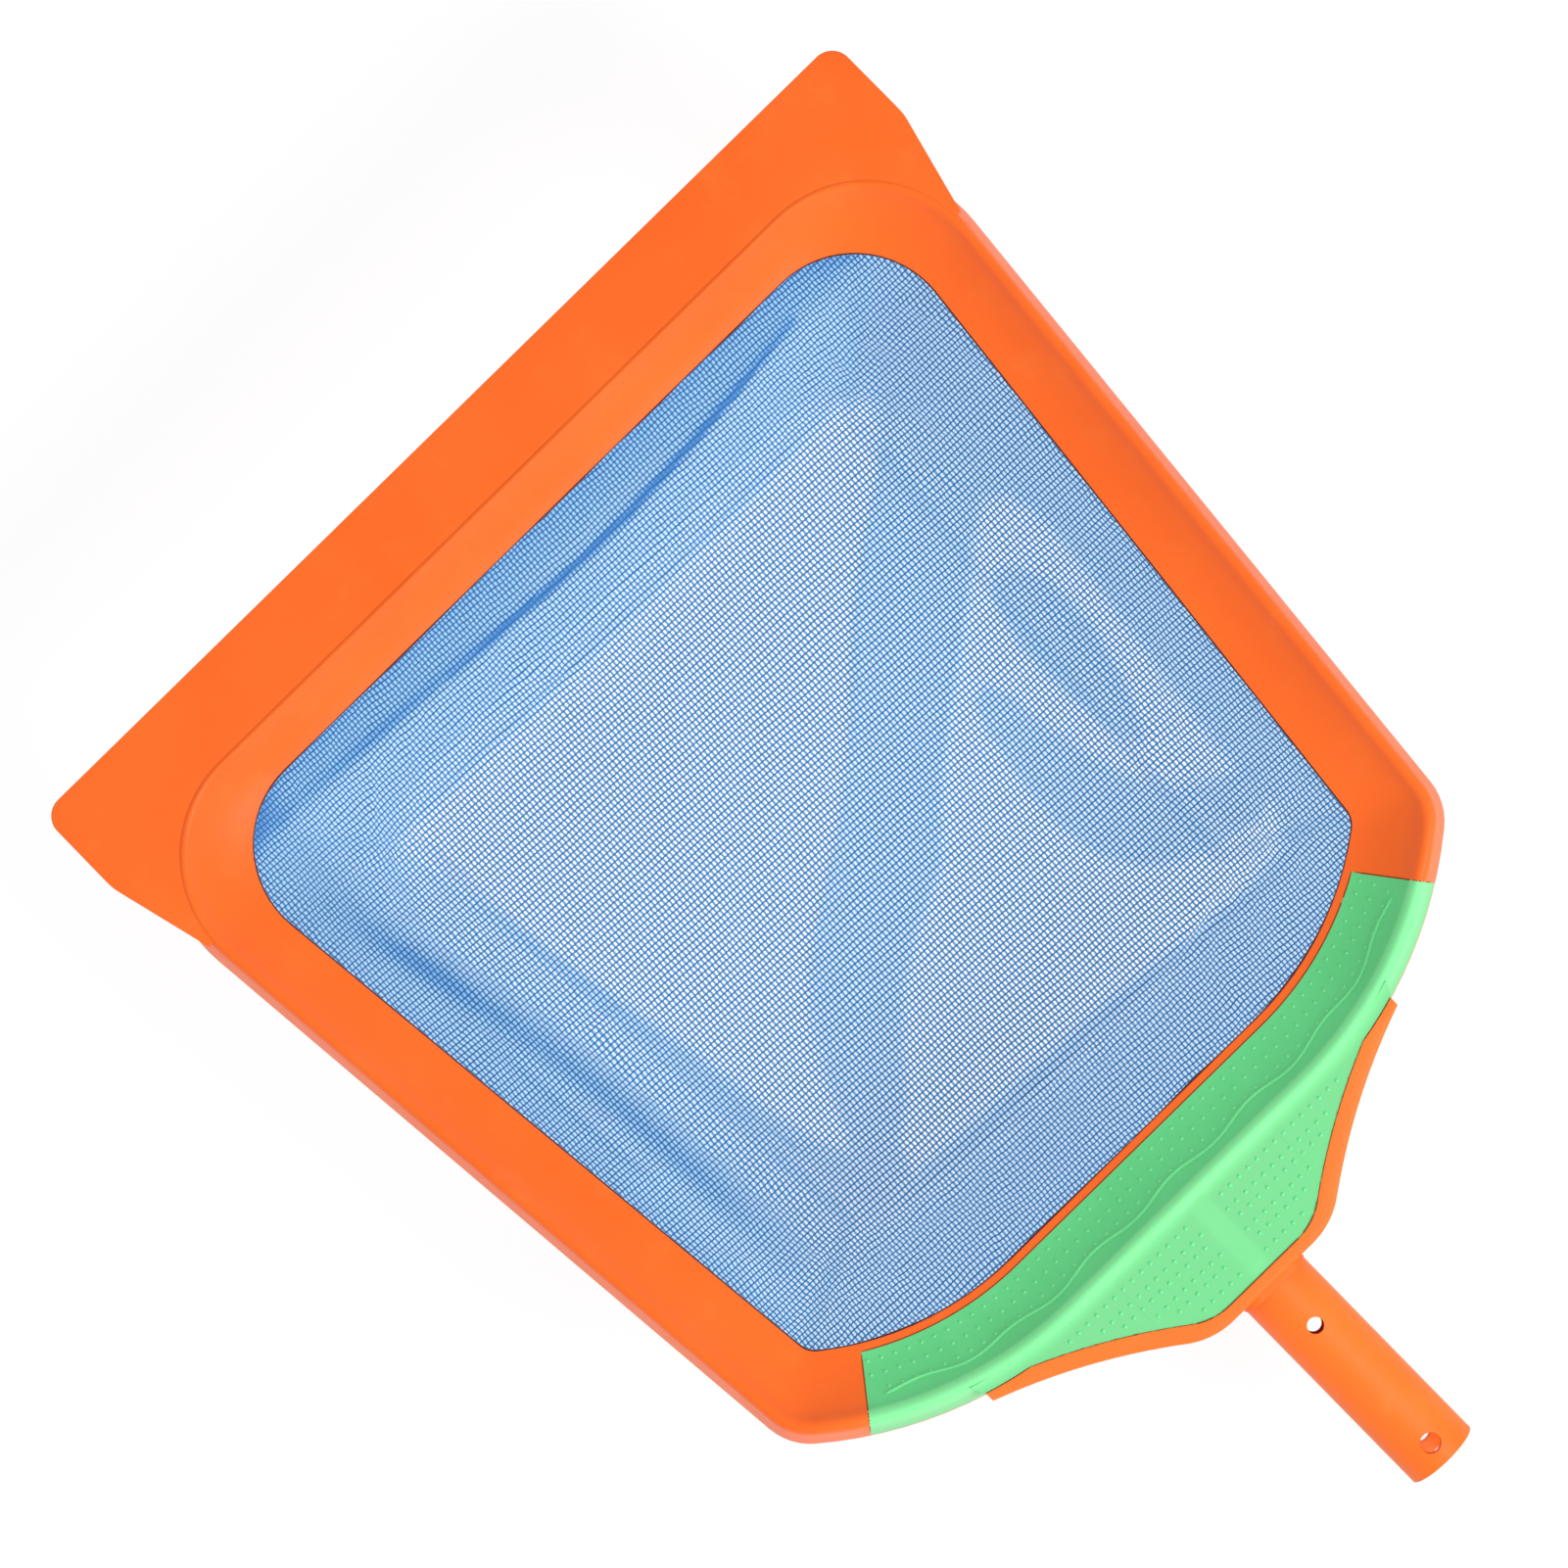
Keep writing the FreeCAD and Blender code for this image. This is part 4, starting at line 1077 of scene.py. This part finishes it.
# ---------------------------------------------------------------- stage, light and camera
BAG_BOTTOM = -0.081       # the lowest place of the CAD's bag
FLOOR_GAP = 0.0008
FLOOR_SIZE = 12.0
MIDDLE = (0, 0.2, 0)      # near the object's middle, in metres
floor_z = min(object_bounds()[0].z, BAG_BOTTOM) - FLOOR_GAP
bpy.ops.mesh.primitive_plane_add(size=FLOOR_SIZE, location=(MIDDLE[0], MIDDLE[1], floor_z))
floor = bpy.context.object
floor.name = "stage_floor"
stage_shader = Shader("stage_pale")
stage_shader.set(Base_Color=(0.2, 0.2, 0.2, 1.0), Roughness=0.9, Specular_IOR_Level=0.1,
                 Emission_Color=(1.0, 1.0, 1.0, 1.0), Emission_Strength=0.82)
floor.data.materials.append(stage_shader.material)
# The fine net neither shades the floor nor dims the light that comes back from it
for obj in (net, left_tape, right_tape):
    obj.visible_shadow = False
    obj.visible_diffuse = False

scene = bpy.context.scene
world = bpy.data.worlds.new("studio")
scene.world = world
world.use_nodes = True
background = world.node_tree.nodes["Background"].inputs
background["Color"].default_value = (0.95, 1.0, 1.04, 1.0)
background["Strength"].default_value = 0.7


def lamp(name, place, size, power):
    """A square soft lamp that faces the object's middle."""
    data = bpy.data.lights.new(name, "AREA")
    data.size = size
    data.energy = power
    obj = bpy.data.objects.new(name, data)
    obj.location = place
    obj.rotation_mode = "QUATERNION"
    obj.rotation_quaternion = (Vector(MIDDLE) - Vector(place)).to_track_quat("-Z", "Y")
    scene.collection.objects.link(obj)


lamp("key", (0.8, -2.0, 2.0), 1.4, 66)
lamp("fill", (-1.6, 1.4, 2.4), 2.0, 6)

# The camera looks straight down from far away, so the view has almost no perspective
VIEW_WIDTH = 0.5677
VIEW_CENTRE = Vector((-0.00035, 0.2527, 0.014))
VIEW_TURN = math.atan2(-0.6996, 0.7145)
HALF_ANGLE = math.radians(3.0)
SENSOR = 36.0
camera = bpy.data.objects.new("camera", bpy.data.cameras.new("camera"))
scene.collection.objects.link(camera)
camera.data.sensor_width = SENSOR
camera.data.lens = SENSOR / 2 / math.tan(HALF_ANGLE)
camera.data.clip_end = 50.0
camera.rotation_mode = "XYZ"
camera.rotation_euler = (0, 0, VIEW_TURN)
camera.location = VIEW_CENTRE + Vector((0, 0, VIEW_WIDTH / 2 / math.tan(HALF_ANGLE)))
scene.camera = camera
scene.view_settings.view_transform = "Standard"
scene.view_settings.look = "None"
